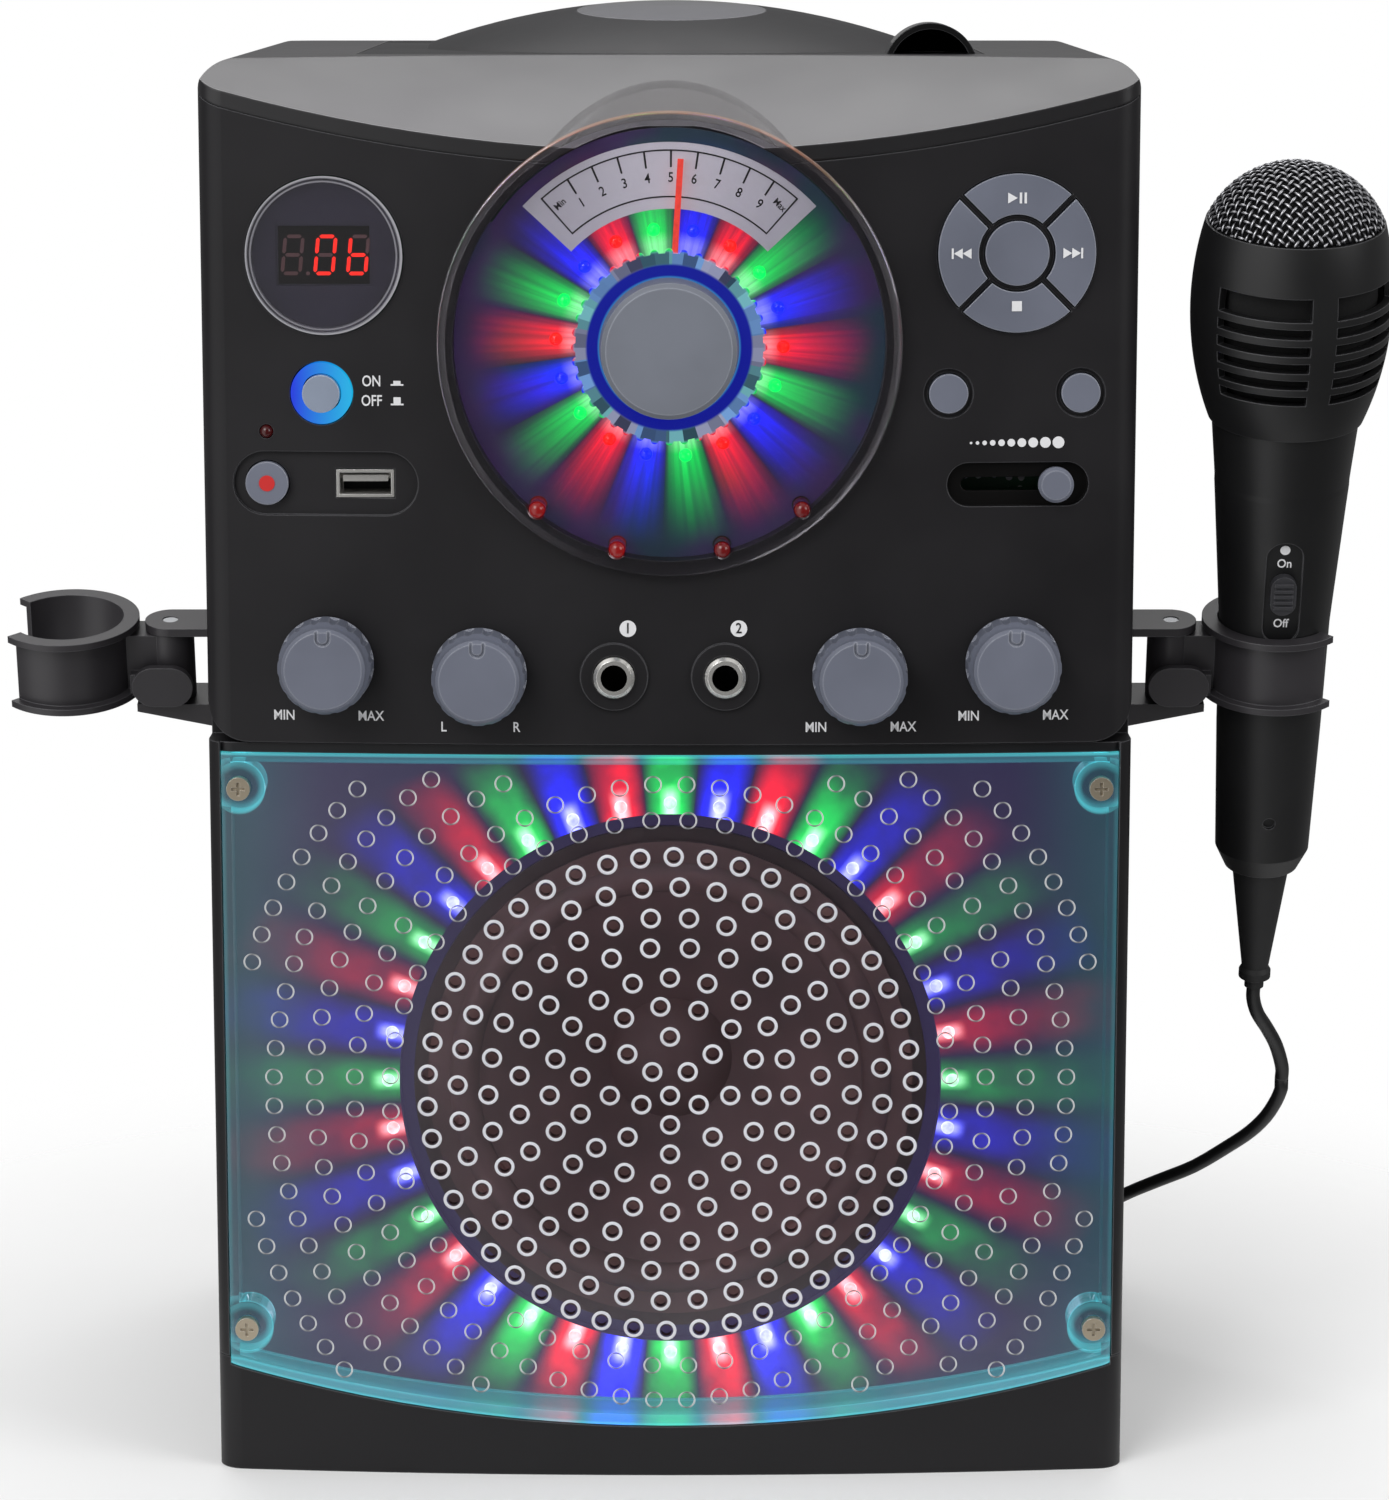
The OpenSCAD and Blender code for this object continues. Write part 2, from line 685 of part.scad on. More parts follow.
module laser_sled() {
    bar_x = sled_x - sled_half;
    color("#5a5c62") difference() {
        union() {
            translate([bar_x, disc_y - rod_off - 3.5, rod_z - 3.5]) cube([2 * sled_half, 2 * rod_off + 7, 7]);
            translate([sled_x - 5, disc_y - 6, rod_z]) cube([10, 12, well_z + 0.4 - rod_z]);
            // rack along the sled's side
            translate([bar_x, rack_y - 3, rod_z - 2]) cube([rack_len, 3 - 1.25 * gear_m - 0.1, 4]);
            for (i = [0 : 13]) translate([bar_x + 1.9 + i * PI * gear_m, rack_y, rod_z - 2])
                linear_extrude(4) polygon([[-0.95 * gear_m, -1.5 * gear_m], [-0.7 * gear_m, -0.1],
                    [-0.28 * gear_m, 0.8 * gear_m], [0.28 * gear_m, 0.8 * gear_m],
                    [0.7 * gear_m, -0.1], [0.95 * gear_m, -1.5 * gear_m]]);
        }
        for (s = [-1, 1]) translate([0, disc_y + s * rod_off, rod_z]) rotate([0, 90, 0])
            cylinder(r = rod_r + run_gap, h = 60);
    }
}

module sled_gear() {
    // a gap between two teeth faces the rack tooth nearest to the gear
    near = round((rack_gear_x - sled_x + sled_half - 1.9) / (PI * gear_m));
    slip = (sled_x - sled_half + 1.9 + near * PI * gear_m - rack_gear_x) / rack_r * 180 / PI;
    color("#e6e2d6") translate([rack_gear_x, rack_gear_y, 0]) {
        translate([0, 0, rod_z - 2.2]) rotate(-90 + slip + 180 / rack_n) linear_extrude(4.4) gear(rack_n);
        translate([0, 0, under_z - 21]) cylinder(r = spindle_r, h = 16);
    }
}

// ---- fascia and its controls ----

module fascia_outline(grow = 0) {
    w = half_w + grow;
    difference() {
        translate([-w, fascia_z - grow]) square([2 * w, deck_z]);
        for (s = [0, 1]) mirror([s, 0]) difference() {
            translate([w - fascia_r, fascia_z - 1]) square([fascia_r + 1, fascia_r + 1]);
            translate([w - fascia_r, fascia_z + fascia_r]) circle(r = fascia_r);
        }
    }
}

// Sector of the transport cluster that faces up, drawn in by inset.
module sector(inset = 0) {
    difference() {
        circle(r = cluster_r - inset);
        circle(r = middle_r + spoke + inset);
        for (a = [-45, 45]) rotate(a)
            translate([-30, -60 + spoke / 2 + inset]) square([60, 60]);
    }
}

// Recess in the fascia whose floor keeps the fascia's curve.
module recess(x, z, depth) {
    difference() {
        translate([x, 0, z]) prism_y(nose_y - 2, -half_d + 12) children();
        slab(fascia_z - 5, deck_z + 5, depth);
    }
}

module front_panel() {
    front = nose_y - 3;
    back = -half_d + 8;
    color("#262527") difference() {
        union() {
            difference() {
                intersection() {
                    slab(fascia_z, deck_z);
                    under_deck(deck_t + seam);
                    prism_y(nose_y - 1, fascia_back_y) fascia_outline();
                }
                slab(fascia_z + wall, deck_z + 1, wall);
            }
            // bosses behind the dial and the jacks
            intersection() {
                bar_y(0, dial_z, dial_r + 4, nose_y + 1, plate_y - 0.1);
                under_deck(deck_t + seam);
                slab(fascia_z, deck_z, 0.5);
            }
            for (x = [-jack_x, jack_x]) bar_y(x, jack_z, 8.5, nose_y - 1, nose_y + 2);
            for (p = post_spots) bar_y(p[0], p[1], 3, front_y(p[0]) + 1, board_y - 0.1);
        }
        bar_y(0, dial_z, dial_open_r, front, back);
        bar_y(-display_x, display_z, cluster_r + fit, front, back);
        bar_y(-display_x - 1, power_z, power_ring_r + fit, front, back);
        dial_indicators(2.4, front, back);
        bar_y(record_light[0], record_light[1], 1.8, front, back);
        // record button and data socket
        recess((record_x + usb_x) / 2 + 2.4, record_z, 1.4) stadium(46.6, 16);
        bar_y(record_x, record_z, record_r + fit, front, back);
        translate([usb_x, 0, record_z])
            prism_y(front, back) square([usb_w + 0.4, usb_h + 0.4], center = true);
        // transport cluster
        translate([transport_x, 0, transport_z]) {
            for (a = [0 : 90 : 270]) prism_y(front, back) rotate(a) sector(-fit);
            bar_y(0, 0, middle_r + fit, front, back);
        }
        for (x = function_xs) bar_y(x, power_z, function_r + fit, front, back);
        for (x = function_xs) recess(x, power_z, 1) circle(r = function_r + 1.3);
        // slider
        recess(slider_x, record_z - 0.2, 1.8) stadium(2 * slider_half, 11);
        translate([slider_x, 0, record_z - 0.2]) prism_y(front, back) stadium(28.5, 3.4);
        for (i = [0 : 3]) bar_y(knob_xs[i], knob_zs[i], shaft_r + 0.4, front, back);
        for (x = [-jack_x, jack_x]) bar_y(x, jack_z, 5.4, front - 2, back);
    }
}

module dial_lens() {
    color("#5a4a86", 0.5) {
        difference() {
            bar_y(0, dial_z, dial_r, lens_front_y, lens_front_y + dial_lens_t, $fn = 96);
            bar_y(0, dial_z, shaft_r + 2, lens_front_y - 1, lens_front_y + 5);
            dial_indicators(2.4, lens_front_y - 1, lens_front_y + 5);
        }
        // flared wall between the lens and the slope
        difference() {
            turned_y(0, lens_front_y + 45, dial_z) polygon([[dial_r + 7, 0], [dial_r, 45],
                [dial_r - 2, 45], [dial_r + 5, 0]]);
            intersection() {
                slab(fascia_z, deck_z + 5, -seam);
                under_deck(0, seam);
            }
        }
    }
}

module scale_plate() {
    color("#b9b7c4") {
        difference() {
            union() {
                bar_y(0, dial_z, dial_open_r - 0.5, plate_y, plate_y + scale_t, $fn = 96);
                intersection() {
                    bar_y(0, dial_z, dial_r + 2.5, plate_y, plate_y + scale_t, $fn = 96);
                    translate([-100, plate_y - 1, dial_z - 80]) cube([200, 20, 110]);
                }
            }
            bar_y(0, dial_z, 5.6, plate_y - 1, plate_y + 5);
            for (i = [0 : 17]) rotate_about(dial_z, 12 + i * led_a)
                bar_y(0, dial_led_r, 1.7, plate_y - 1, plate_y + 5);
            dial_indicators(2.4, plate_y - 1, plate_y + 5);
        }
        // silver scale, raised under the needle
        difference() {
            intersection() {
                bar_y(0, dial_z, 50, plate_y - 0.8, plate_y + 0.1, $fn = 96);
                translate([0, 0, dial_z]) prism_y(plate_y - 2, plate_y + 2)
                    polygon([[0, 0], [80 * sin(-47), 80 * cos(47)], [0, 120], [80 * sin(47), 80 * cos(47)]]);
            }
            bar_y(0, dial_z, 33.5, plate_y - 2, plate_y + 0.2, $fn = 96);
        }
        // stub that carries the idler
        bar_y(0, dial_z - gear_reach, 1.5, plate_y + scale_t - 0.1, stage_one_y + gear_w + 0.5);
    }
}

// The four indicator lights in the lower part of the dial, or the holes for them.
module dial_indicators(r, front, back) {
    for (a = indicator_as) rotate_about(dial_z, a) bar_y(0, -indicator_reach, r, front, back);
}

// Turns children clockwise, seen from the front, about the point at height z.
module rotate_about(z, a) {
    translate([0, 0, z]) rotate([0, a, 0]) children();
}

// Round-nosed light whose straight part is long.
module bulb(x, back, z, r, long) {
    turned_y(x, back, z) {
        square([r, long]);
        translate([0, long]) intersection() {
            circle(r = r);
            square(2 * r);
        }
    }
}

module lights() {
    color("#cfd6ff") {
        for (i = [0 : 17]) rotate_about(dial_z, 12 + i * led_a)
            bulb(0, plate_y + scale_t, dial_led_r, 1.6, scale_t + 0.1);
        for (i = [0 : led_n - 1]) rotate_about(speaker_z, i * 360 / led_n)
            bulb(0, reflector_y + 2.8, ring_led_r, 1.6, 3.2);
    }
    color("#d8322c") {
        for (a = indicator_as) rotate_about(dial_z, a)
            bulb(0, board_y - 0.2, -indicator_reach, 2.1, board_y - 0.9 - lens_front_y);
        bulb(record_light[0], board_y - 0.2, record_light[1], 1.6,
            board_y - 0.4 - front_y(record_light[0]));
    }
    // lit ring round the power button
    color("#8fb4ff") difference() {
        faced(-display_x - 1, 0.5, front_y(display_x) + 3.6)
            bar_y(-display_x - 1, power_z, power_ring_r, nose_y - 5, 0);
        bar_y(-display_x - 1, power_z, power_r + fit, nose_y - 6, 0);
    }
}

module needle() {
    color("#d8453f") rotate_about(dial_z, needle_rest_a) {
        difference() {
            union() {
                translate([-0.75, needle_y, 4]) cube([1.5, 1, needle_reach - 4]);
                bar_y(0, 0, 5, needle_y, stage_two_y + gear_w);
                translate([0, stage_two_y + gear_w, 0]) rotate([90, 0, 0]) rotate(90 + 180 / hub_n)
                    linear_extrude(gear_w) gear(hub_n);
            }
            bar_y(0, 0, shaft_r + run_gap, needle_y - 1, stage_two_y + gear_w + 1);
        }
    }
}

module idler_gear() {
    color("#e6e2d6") translate([0, 0, dial_z - gear_reach]) difference() {
        union() {
            translate([0, stage_two_y + gear_w, 0]) rotate([90, 0, 0]) rotate(90 + needle_slip)
                linear_extrude(gear_w + 0.1) gear(small_n);
            translate([0, stage_one_y + gear_w, 0]) rotate([90, 0, 0]) rotate(90)
                linear_extrude(stage_one_y - stage_two_y) gear(wheel_n);
        }
        bar_y(0, 0, 1.5 + run_gap, stage_two_y - 1, stage_one_y + gear_w + 1);
    }
}

// the needle's rest angle leaves its gear turned, and the small wheel follows it
needle_slip = needle_rest_a * hub_n / small_n;

module volume_shaft() {
    color("#b9bbc0") {
        bar_y(0, dial_z, shaft_r, lens_front_y - volume_h, pot_y + pot_d - 0.4);
        translate([0, stage_one_y + gear_w, dial_z]) rotate([90, 0, 0]) rotate(90 + 180 / pinion_n)
            linear_extrude(gear_w - 0.5) gear(pinion_n);
    }
}

module volume_knob() {
    back = lens_front_y - 4.2;
    color("#767b88") difference() {
        turned_y(0, back, dial_z) polygon([[0, 0], [volume_r + 0.6, 0], [volume_r, volume_h - 1.2],
            [volume_r - 1.2, volume_h], [0, volume_h]]);
        bar_y(0, dial_z, shaft_r + 0.02, back - volume_h + 4, back + 1);
    }
}

module volume_skirt() {
    back = lens_front_y - 0.6;
    color("#cfe4ff", 0.5) difference() {
        union() {
            bar_y(0, dial_z, skirt_r - 1, back - 3.4, back);
            for (i = [0 : 39]) rotate_about(dial_z, i * 9) bar_y(0, skirt_r - 1, 1, back - 3, back);
        }
        bar_y(0, dial_z, shaft_r + 0.02, back - 5, back + 1);
    }
}

module potentiometer(x, z, r) {
    color("#7d8087") difference() {
        bar_y(x, z, r, pot_y, pot_y + pot_d);
        bar_y(x, z, shaft_r + run_gap, pot_y - 1, pot_y + pot_d + 1);
    }
}

// Rotary knob with a scalloped skirt and a pointer groove at the top.
module knob(x, z) {
    back = front_y(abs(x) - knob_r) - 0.5;
    color("#5f6472") {
        difference() {
            union() {
                turned_y(x, back, z) polygon([[0, 0], [knob_r - 0.6, 0], [knob_r, 0.6],
                    [knob_r - 0.3, knob_h - 4.5], [knob_cap_r + 0.4, knob_h - 2.4],
                    [knob_cap_r, knob_h - 0.8], [knob_cap_r - 0.8, knob_h], [0, knob_h]]);
                bar_y(x, z, shaft_r, back - 1, pot_y + pot_d - 0.4);
            }
            for (i = [0 : 15]) translate([x, 0, z]) rotate([0, 11.25 + i * 22.5, 0])
                bar_y(0, knob_r + 1.4, 2, back - knob_h + 3, back - 1.2);
            translate([x, 0, z + knob_cap_r - 2.4]) prism_y(back - knob_h - 1, back - knob_h + 0.5)
                difference() {
                    union() {
                        circle(r = 1.9);
                        translate([-1.9, 0]) square([3.8, 3.2]);
                    }
                    circle(r = 1.2);
                    translate([-1.2, 0]) square([2.4, 4]);
                }
        }
    }
}

module left_outer_knob() { knob(knob_xs[0], knob_zs[0]); }
module left_inner_knob() { knob(knob_xs[1], knob_zs[1]); }
module right_inner_knob() { knob(knob_xs[2], knob_zs[2]); }
module right_outer_knob() { knob(knob_xs[3], knob_zs[3]); }

// Cuts children to a flat front, proud of the fascia and square to its curve at x.
module faced(x, proud, back) {
    intersection() {
        children();
        translate([x, front_y(x) - proud, fascia_z]) rotate([0, 0, asin(x / bow_r)])
            translate([-60, 0, 0]) cube([120, 60, deck_z]);
        translate([-body_w, -2 * body_d, 0]) cube([2 * body_w, 2 * body_d + back, 2 * deck_z]);
    }
}

module display_lens() {
    color("#3a3444", 0.6) faced(-display_x, 0.8, front_y(display_x) + 3.2)
        bar_y(-display_x, display_z, cluster_r, nose_y - 5, 0);
}

module display_module() {
    front = front_y(display_x) + 3.8;
    color("#d9d7da") {
        translate([-display_x - 15, front, display_z - 10]) cube([30, board_y - 0.2 - front, 20]);
        // the lens is held by a collar on the module
        difference() {
            bar_y(-display_x, display_z, cluster_r - 0.5, front - 0.4, front + 1.5);
            translate([-display_x - 12, front - 1, display_z - 7.6]) cube([24, 5, 15.2]);
        }
    }
}

button_back = -half_d + 2.5;

// Stem that reaches back to a button's switch.
module stem(x, z, travel) {
    bar_y(x, z, 1.8, button_back - 0.5, switch_y - travel - 0.25);
}

module power_button() {
    color("#dfe4ea") {
        faced(-display_x - 1, 2.4, button_back) bar_y(-display_x - 1, power_z, power_r, nose_y - 6, 0);
        stem(-display_x - 1, power_z, 3);
    }
}

module record_button() {
    color("#6b6f7d") {
        faced(record_x, 0.8, button_back) bar_y(record_x, record_z, record_r, nose_y - 6, 0);
        stem(record_x, record_z, 1);
    }
}

module sector_button(a) {
    color("#6b6f7d") {
        faced(transport_x, 1, button_back) translate([transport_x, 0, transport_z])
            prism_y(nose_y - 5, -half_d + 15) rotate(a) sector();
        translate([transport_x, 0, transport_z]) rotate([0, -a, 0])
            stem(0, (cluster_r + middle_r + spoke) / 2, 1);
    }
}

module play_button() { sector_button(0); }
module stop_button() { sector_button(180); }
module back_button() { sector_button(90); }
module next_button() { sector_button(270); }

module middle_button() {
    color("#6b6f7d") {
        faced(transport_x, 1.3, button_back) bar_y(transport_x, transport_z, middle_r, nose_y - 6, 0);
        stem(transport_x, transport_z, 1);
    }
}

module function_button(x) {
    color("#6b6f7d") {
        faced(x, 0.9, button_back) bar_y(x, power_z, function_r, nose_y - 6, 0);
        stem(x, power_z, 1);
    }
}

module left_function_button() { function_button(function_xs[0]); }
module right_function_button() { function_button(function_xs[1]); }

module slider_knob() {
    front = front_y(slider_knob_x) - 3.2;
    // clears the recess's floor where the bow brings that furthest forward
    back = front_y(71) + 1.5;
    z = record_z - 0.2;
    color("#6b6f7d") {
        turned_y(slider_knob_x, back, z) polygon([[0, 0], [slider_r, 0],
            [slider_r, back - front - 0.8], [slider_r - 0.8, back - front], [0, back - front]]);
        bar_y(slider_knob_x, z, 1.4, back - 0.5, board_y - 2.2);
    }
}

module usb_port() {
    front = front_y(usb_x) + 1.2;
    color("#c4c6ca") {
        difference() {
            translate([usb_x - usb_w / 2, front, record_z - usb_h / 2])
                cube([usb_w, board_y - 0.2 - front, usb_h]);
            translate([usb_x - usb_w / 2 + 0.8, front - 1, record_z - usb_h / 2 + 0.8])
                cube([usb_w - 1.6, 13, usb_h - 1.6]);
        }
        translate([usb_x - 5.6, front + 1.2, record_z + 0.4]) cube([11.2, 12, 1.6]);
    }
}

module mic_jacks() {
    color("#c4c6ca") for (x = [-jack_x, jack_x]) difference() {
        union() {
            turned_y(x, nose_y + 4, jack_z) polygon([[0, 0], [5.2, 0], [5.2, 6.2], [4.4, 7], [0, 7]]);
            translate([x - 8, nose_y + 3.9, jack_z - 7]) cube([16, board_y - 0.2 - nose_y - 3.9, 14]);
        }
        bar_y(x, jack_z, jack_r, nose_y - 8, board_y - 3);
    }
}

module control_board() {
    spots = [[record_x, record_z], [transport_x, transport_z], [-display_x - 1, power_z],
        [function_xs[0], power_z], [function_xs[1], power_z]];
    mid = (cluster_r + middle_r + spoke) / 2;
    color("#1f5a3a") {
        difference() {
            translate([-110, board_y, 200]) cube([220, board_t, 138]);
            translate([-14, board_y - 1, 326]) cube([28, 5, 20]);
            for (i = [0 : 3]) bar_y(knob_xs[i], knob_zs[i], shaft_r + 0.4, board_y - 1, board_y + 5);
        }
        for (p = spots) translate([p[0] - 3, switch_y, p[1] - 3]) cube([6, board_y - switch_y + 0.1, 6]);
        for (a = [0 : 90 : 270]) translate([transport_x, 0, transport_z]) rotate([0, a, 0])
            translate([-3, switch_y, mid - 3]) cube([6, board_y - switch_y + 0.1, 6]);
        translate([slider_x - 20, board_y - 2, record_z - 3.2]) cube([40, 2.1, 6]);
    }
}

module circuit_boards() {
    control_board();
    main_board();
    potentiometer(0, dial_z, 9);
    for (i = [0 : 3]) potentiometer(knob_xs[i], knob_zs[i], 8);
}

module main_board() {
    color("#2b6a44") {
        translate([-95, half_d - 16.6, 92]) cube([190, 1.6, 84]);
        // heat sink and large parts
        translate([20, half_d - 34, 120]) cube([44, 17.5, 26]);
        for (i = [0 : 2]) bar_y(-60 + i * 18, 150, 6, half_d - 30.5, half_d - 16.5);
        for (x = [-80, 80], z = [98, 170]) bar_y(x, z, 2, half_d - 15.2, half_d - 10.1);
    }
}

module transformer() {
    color("#8c8f96") {
        translate([18, 40, floor_z + plate_t + 0.1]) cube([50, 34, 40]);
        translate([24, 34, floor_z + plate_t + 6]) cube([38, 46, 28]);
    }
}

// ---- lower front ----

module cover_shape(inset, low, back) {
    intersection() {
        slab(low, cover_top_z - inset, inset + 0.3);
        translate([-cover_half + inset, -body_d, 0]) cube([2 * (cover_half - inset), body_d + back, deck_z]);
        smile_cut(-fit - inset);
    }
}

module clear_cover() {
    color("#dfe6f2", 0.35) difference() {
        union() {
            difference() {
                cover_shape(0, 5, reflector_y - 1);
                cover_shape(cover_t, 5, reflector_y + 5);
            }
            for (x = [-1, 1], z = cover_screw_zs) intersection() {
                bar_y(x * cover_screw_x, z, boss_r, nose_y - 2, reflector_y - 1);
                cover_shape(0, 5, reflector_y);
            }
        }
        for (x = [-1, 1], z = cover_screw_zs) {
            bar_y(x * cover_screw_x, z, 3.2, nose_y - 5, front_y(cover_screw_x) + 1.5);
            bar_y(x * cover_screw_x, z, 1.6, nose_y - 5, reflector_y);
        }
        bar_y(0, speaker_z, cover_hole_r, nose_y - 5, nose_y + 5);
        for (ring = cover_rings, i = [0 : ring[1] - 1])
            rotate_about(speaker_z, ring[2] + i * 360 / ring[1])
                bar_y(0, ring[0], cover_hole_r, nose_y - 5, nose_y + 7, $fn = 16);
    }
}

module speaker_baffle() {
    color("#8f8aa8") difference() {
        translate([-half_w + wall + seam, reflector_y, floor_z + plate_t + 0.1])
            cube([body_w - 2 * (wall + seam), reflector_t + baffle_t, cover_top_z - floor_z - plate_t - 0.1]);
        bar_y(0, speaker_z, speaker_open_r, reflector_y - 1, reflector_y + reflector_t);
        bar_y(0, speaker_z, speaker_r - 7.5, reflector_y - 1, reflector_y + 20);
        for (i = [0 : led_n - 1]) rotate_about(speaker_z, i * 360 / led_n)
            bar_y(0, ring_led_r, 1.7, reflector_y - 1, reflector_y + 3);
    }
}

module speaker_frame() {
    seat = reflector_y + reflector_t;
    color("#55565a") {
        difference() {
            turned_y(0, seat + 54, speaker_z) polygon([[0, 14], [36, 14], [56, 51], [58.4, 52.5],
                [58.4, 54.1], [speaker_r, 54.1], [speaker_r, 55.6], [57, 55.6], [54, 52.5],
                [34, 16], [0, 16]]);
            for (a = [30 : 60 : 330]) rotate_about(speaker_z, a) bar_y(0, 46, 8, seat, seat + 39);
            bar_y(0, speaker_z, 13, seat + 20, seat + 60);
        }
        // magnet and pole
        bar_y(0, speaker_z, 35, seat + 40.1, seat + 58);
        bar_y(0, speaker_z, 12.4, seat + 30, seat + 41);
    }
}

module speaker_cone() {
    seat = reflector_y + reflector_t;
    roll = 29.9;               // height of the surround's feet over the cone's back
    color("#3d3835") turned_y(0, seat + 28, speaker_z) {
        polygon([[13.2, 0], [16, 4], [50, roll - 0.6], [50, roll + 0.3], [13.2, 5]]);
        // rolled surround and the gasket that glues it to the flange
        difference() {
            translate([53.5, roll - 0.1]) circle(r = 4);
            translate([53.5, roll - 0.1]) circle(r = 3.2);
            translate([40, 10]) square([30, roll - 10.1]);
        }
        translate([56.8, roll - 0.1]) square([6, 1.3]);
        // dust cap
        intersection() {
            difference() {
                translate([0, -8]) circle(r = 22);
                translate([0, -8]) circle(r = 21);
            }
            translate([0, 6]) square([18.6, 20]);
        }
    }
}

// ---- microphone and its holders ----

module leaning() {
    translate([pivot_x, pivot_y, ring_z]) rotate([lean_a, 0, 0]) children();
}

module in_ring() {
    leaning() translate([ring_reach, 0, 0]) children();
}

module bracket() {
    translate([half_w + 0.05, pivot_y - 5, ring_z - 22]) cube([2, 20, 38]);
    leaning() difference() {
        union() {
            translate([-pivot_out + 1, -6.6, lug_z]) cube([pivot_out - 1, 13.2, 2.2]);
            translate([0, 0, lug_z]) cylinder(r = 6.6, h = 2.2);
            rotate([90, 0, 0]) translate([0, 0, -7]) linear_extrude(14)
                polygon([[-pivot_out + 1, -11.9], [9, -11.9], [9, -14], [-pivot_out + 1, -18.5]]);
        }
        translate([0, 0, -20]) cylinder(r = pivot_pin_r + 0.02, h = 40);
    }
}

module holder_brackets() {
    color("#2b292b") for (s = [0, 1]) mirror([s, 0, 0]) bracket();
}

module holder() {
    flange = 2.4;
    difference() {
        leaning() union() {
            difference() {
                union() {
                    translate([ring_reach, 0, -ring_h / 2]) cylinder(r = ring_r + ring_t, h = ring_h);
                    for (z = [-ring_h / 2, ring_h / 2 - 1.8]) translate([ring_reach, 0, z])
                        cylinder(r = ring_r + ring_t + flange, h = 1.8);
                    translate([3, -5, -ring_h / 2]) cube([ring_reach - ring_r - 2, 10, ring_h / 2 + 6.8]);
                    translate([0, 0, -11.6]) cylinder(r = 6, h = lug_z - 0.3 + 11.6);
                    // tongue in front of the knuckle
                    translate([1.9, 0, -6.1]) prism_y(-9.4, -7.2) stadium(15.8, 11);
                    translate([4, -8, -9]) cube([6.4, 8, 6]);
                }
                translate([ring_reach, 0, -ring_h]) cylinder(r = ring_r, h = 2 * ring_h);
                // the ring's mouth faces outwards
                translate([ring_reach, 0, -ring_h]) linear_extrude(2 * ring_h) polygon([[0, 0],
                    [40 * cos(mouth_a), -40 * sin(mouth_a)], [40 * cos(mouth_a), 40 * sin(mouth_a)]]);
                translate([0, 0, -20]) cylinder(r = pivot_pin_r + run_gap, h = 40);
            }
        }
    }
}

module left_holder() { color("#2b292b") mirror([1, 0, 0]) holder(); }
module right_holder() { color("#2b292b") holder(); }

module mic_grille() {
    color("#1a1a1c") in_ring() rotate_extrude() intersection() {
        translate([0, head_top + 0.2 - mesh_sink]) difference() {
            circle(r = mesh_r, $fn = 96);
            circle(r = mesh_r - 1.5, $fn = 96);
        }
        translate([0, head_top + 0.2]) square([head_r + 0.5, 30]);
    }
}

// Slots on both sides of a face's middle rib, each a sector of the head.
module head_slots(low, high) {
    for (side = [0, 1]) mirror([side, 0, 0]) translate([0, 0, low]) linear_extrude(high - low)
        polygon([[0, 0], for (a = [7.6, 36, 65]) 40 * [sin(a), -cos(a)]]);
}

module mic_head() {
    color("#232225") in_ring() difference() {
        rotate_extrude() intersection() {
            translate([head_r - barrel_r, head_mid]) difference() {
                circle(r = barrel_r, $fn = 2 * FINE);
                circle(r = barrel_r - 2.2, $fn = 2 * FINE);
            }
            translate([10, head_low]) square([head_r, head_top - head_low]);
        }
        // the head is turned a little in its ring
        rotate(12.5) for (face = [0, 180]) rotate(face) {
            for (i = [0 : 4]) head_slots(77.6 + i * 4.6, 80.2 + i * 4.6);
            head_slots(100.5, 106.4);
        }
    }
}

module mic_handle() {
    color("#242325") {
        in_ring() difference() {
            rotate_extrude() polygon([[0, -handle_low], [tail_r - 2.6, -handle_low],
                [tail_r, -handle_low + 5.5], [13.7, -20], [handle_grip_r, handle_grip_z],
                [handle_top_r, handle_top_z], [handle_top_r, 50], [collar_r - 0.6, 66.4], [0, 66.4]]);
            on_handle() prism_y(-9, 1.4) rotate(90) stadium(29.5, 9.4);
            translate([0, 0, -44]) bar_y(0, 0, 1.6, -20, -11.6);
        }
    }
}

// Places children on the handle's front, at the slide switch.
module on_handle() {
    translate([0, -switch_y_in, switch_z]) rotate([switch_tilt, 0, 0]) children();
}

module mic_switch() {
    color("#3a3a3d") in_ring() on_handle() {
        prism_y(-1, 1.3) rotate(90) stadium(11, 6.6);
        for (i = [-2 : 2]) translate([-2.4, -1.6, i * 1.6 - 0.4]) cube([4.8, 0.8, 0.8]);
    }
}

// Rubber boot that the cord leaves by.
module strain_relief() {
    color("#1b1b1c") in_ring() rotate_extrude() polygon([[0, -relief_low], [2.6, -relief_low],
        [2.6, -relief_low + 2], [4.3, -relief_low + 3], [4.3, -relief_low + 5],
        [3.6, -relief_low + 6.2], [7.6, -handle_low - 0.7], [8.4, -handle_low - 0.1],
        [0, -handle_low - 0.1]]);
}

// ---- microphone cord ----

function along(points, i) = points[min(max(i, 0), len(points) - 1)];

// Point at share u between points i and i + 1, on a smooth curve through all of them.
function curve_point(p, i, u) = let (a = along(p, i - 1), b = along(p, i), c = along(p, i + 1),
    d = along(p, i + 2)) 0.5 * (2 * b + (c - a) * u + (2 * a - 5 * b + 4 * c - d) * u * u
    + (3 * b - a - 3 * c + d) * u * u * u);

function smooth(p, steps) = [for (i = [0 : len(p) - 2], k = [0 : steps - 1]) curve_point(p, i, k / steps),
    p[len(p) - 1]];

function coil_radius(k, u) = u < coil_turns
    ? (k % 2 == 0 ? coil_out_r - coil_pitch * u : coil_r + coil_pitch * u)
    : (k % 2 == 0 ? coil_r : coil_out_r);

